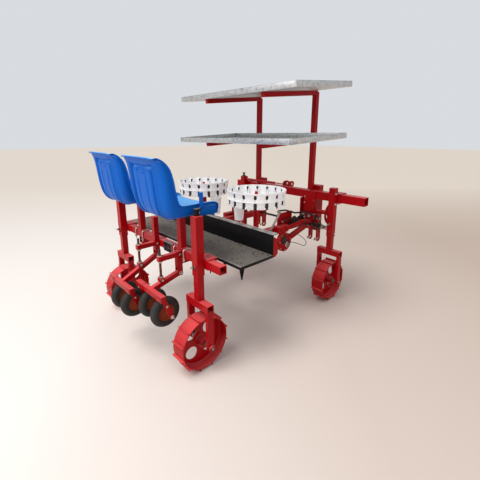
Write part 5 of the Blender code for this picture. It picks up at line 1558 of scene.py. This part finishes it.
class MakeHitchFittings(bpy.types.Operator):
    """Add bolts and pin bushes to the hitch, the trays and the guard"""
    bl_idname = "transplanter.make_hitch_fittings"
    bl_label = "Hitch fittings"

    def execute(self, context):
        shape = bmesh.new()
        leg_x, leg_foot = middle_of("hitch_leg_left").x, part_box("hitch_leg_left")[0].z
        rear = x_at(1.4985) - 0.0005
        foot = middle_of("front_beam").z + BEAM_HALF
        for name, side in SIDES:
            head_y = y_at(side * HEAD_Y)
            for z in (0.925, 0.987):
                add_bolt(shape, (rear, head_y + 0.055, z), -AXIS_X, 0.0085, 0, 0.5)
                add_bolt(shape, (rear, head_y - 0.055, z - 0.03), -AXIS_X, 0.0085, 1, 0.0)
            for y in (head_y - 0.043, head_y + 0.043):
                bush = Vector((leg_x, y, leg_foot + 0.028))
                for way in WAYS:
                    add_pin(shape, bush, AXIS_Y * way, 0.005, 0.0085, 0.014, 18, 0.0006)
            post, post_high = middle_of("tray_post_" + name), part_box("tray_post_" + name)[1]
            for way in WAYS:
                add_bolt(shape, (post_high.x - 0.023 + way * 0.034, post.y, foot + 0.0055), AXIS_Z, 0.0095)
            for _, rear_x, rear_top, rise in TRAYS:
                for share in (0.16, 0.84):
                    x = x_at(rear_x + TRAY_LONG * share)
                    z = rear_top + rise * share - TRAY_DEEP + TRAY_WALL
                    add_bolt(shape, (x, post.y, z), AXIS_Z, 0.0085, 0, 0.4)
        for spot in around(at(*GUARD) - AXIS_Y * 0.004, 0.088, 3):
            add_bolt(shape, spot, -AXIS_Y, 0.0085, 0, 0.5)
        make_piece("hitch_fittings", shape, ("bolt_zinc", "red_paint"), ROOT, "bare_steel")
        return {"FINISHED"}


class MakeCable(bpy.types.Operator):
    """Hang the cable loop from the right chain case"""
    bl_idname = "transplanter.make_cable"
    bl_label = "Cable"

    def execute(self, context):
        line = [at(*point) for point in smooth_line(CABLE_ROUTE, CABLE_STEPS)]
        shape = bmesh.new()
        add_sweep(shape, line, CABLE_RADIUS, 12)
        cable = make_piece("cable_sheath", shape, ("rubber",), ROOT, "rubber", "cable_loop", smooth=60.0)
        return {"FINISHED"}


FLOOR_PAINTED_LIGHT = (
    # direction, from, to, most and colour of a broad band of painted light and shade on the floor
    ((0.73, -0.68, 0.0), 0.9, -1.2, 0.85, (0.90, 0.84, 0.79)),
    ((0.73, -0.68, 0.0), 1.0, 3.2, 0.70, (0.52, 0.40, 0.32)),
    ((0.68, 0.73, 0.0), 2.0, 7.0, 0.92, (0.80, 0.70, 0.60)),
)
SKY_COLOUR = (0.93, 0.96, 1.0, 1.0)
SKY_SEEN = 1.35
SUN_SPREAD = math.radians(28.0)
LAMP_AIM = (0.6, -0.1, 0.7)
CAMERA_PLACE = (-1.1526, -2.1997, 1.599)
CAMERA_TURN = (math.radians(90 - 14.03), 0.0, math.radians(-43.03))
CAMERA_SHIFT = -0.0552


class MakeStage(bpy.types.Operator):
    """Lay the floor, hang the lamps and place the camera"""
    bl_idname = "transplanter.make_stage"
    bl_label = "Stage"

    def execute(self, context):
        scene = context.scene
        stage = scene.transplanter_stage
        scene.view_settings.view_transform = "Standard"
        shape = bmesh.new()
        bmesh.ops.create_grid(shape, x_segments=2, y_segments=2, size=40.0)
        paint = Finish("floor", stage.floor, 0.85)
        paint.patches((0.8, 4.0), 0.3, 0.8, 0.06, (0.70, 0.68, 0.65))
        # Painted light and shade: the floor is lighter to the left and back, and darker near and to the right
        for way, start, end, most, colour in FLOOR_PAINTED_LIGHT:
            paint.mix(paint.ramp(paint.along(way), start, end, 0.0, most), colour)
        FINISHES["floor"] = paint.done()
        floor = to_object("floor", shape, ("floor",), 0.0)
        floor.location.z = -0.0005
        world = bpy.data.worlds.new("sky")
        world.use_nodes = True
        scene.world = world
        nodes, links = world.node_tree.nodes, world.node_tree.links
        back = nodes["Background"]
        back.inputs["Color"].default_value = SKY_COLOUR
        share = nodes.new("ShaderNodeMapRange")
        share.inputs["To Min"].default_value = stage.sky
        share.inputs["To Max"].default_value = stage.sky * SKY_SEEN
        links.new(nodes.new("ShaderNodeLightPath").outputs["Is Camera Ray"], share.inputs["Value"])
        links.new(share.outputs[0], back.inputs["Strength"])
        for name, place, size, power, colour in (
                ("key", (-3.4, -0.2, 3.6), 2.4, stage.key, (1.0, 0.98, 0.95)),
                ("fill", (1.5, -4.0, 2.6), 3.0, stage.key * 0.10, (0.95, 0.97, 1.0)),
                ("sun", (-0.8, 0.4, 4.6), 0.0, stage.sun, (1.0, 0.99, 0.97))):
            lamp = bpy.data.lights.new(name, "AREA" if size else "SUN")
            if size:
                lamp.size = size
            else:
                lamp.angle = SUN_SPREAD
            lamp.energy = power
            lamp.color = colour
            holder = self.hang(scene, name, lamp, at(*place))
            aim = at(*LAMP_AIM) - holder.location
            holder.rotation_euler = aim.to_track_quat("-Z", "Y").to_euler()
        camera = bpy.data.cameras.new("camera")
        camera.lens = stage.lens
        camera.sensor_width = 36.0
        camera.shift_y = CAMERA_SHIFT
        scene.camera = self.hang(scene, "camera", camera, at(*CAMERA_PLACE))
        scene.camera.rotation_euler = CAMERA_TURN
        return {"FINISHED"}

    def hang(self, scene, name, data, place):
        holder = bpy.data.objects.new(name, data)
        scene.collection.objects.link(holder)
        holder.location = place
        return holder


class TransplanterPanel(bpy.types.Panel):
    """Lists the pieces and their settings"""
    bl_idname = "VIEW3D_PT_transplanter"
    bl_label = "Seedling transplanter"
    bl_space_type = "VIEW_3D"
    bl_region_type = "UI"
    bl_category = "Transplanter"

    def draw(self, context):
        layout = self.layout
        for operator in OPERATORS:
            layout.operator(operator.bl_idname, text=operator.bl_label)
        for name in GROUPS:
            box = layout.box()
            settings = getattr(context.scene, name)
            for key in settings.__annotations__:
                box.prop(settings, key)


OPERATORS = (MakeFinishes, MakeStage, MakeCable, MakeSeats, MakeCarousels, MakeFunnels, MakeDrumWheels,
             MakePressWheels, MakeTrays, MakeDeck, MakeKickplate, MakePressFittings, MakeBeamFittings,
             MakeDriveLine, MakeCaseFittings, MakeHitchFittings)
GROUPS = {
    "transplanter_colours": TransplanterColours,
    "transplanter_seat": SeatSettings,
    "transplanter_carousel": CarouselSettings,
    "transplanter_wheel": WheelSettings,
    "transplanter_stage": StageSettings,
}


def register():
    for group in GROUPS.values():
        bpy.utils.register_class(group)
    for name, group in GROUPS.items():
        setattr(bpy.types.Scene, name, PointerProperty(type=group))
    for operator in OPERATORS:
        bpy.utils.register_class(operator)
    bpy.utils.register_class(TransplanterPanel)


def unregister():
    bpy.utils.unregister_class(TransplanterPanel)
    for operator in reversed(OPERATORS):
        bpy.utils.unregister_class(operator)
    for name in GROUPS:
        delattr(bpy.types.Scene, name)
    for group in GROUPS.values():
        bpy.utils.unregister_class(group)


def main():
    register()
    for operator in OPERATORS:
        group, name = operator.bl_idname.split(".")
        getattr(getattr(bpy.ops, group), name)()


if __name__ == "__main__":
    main()
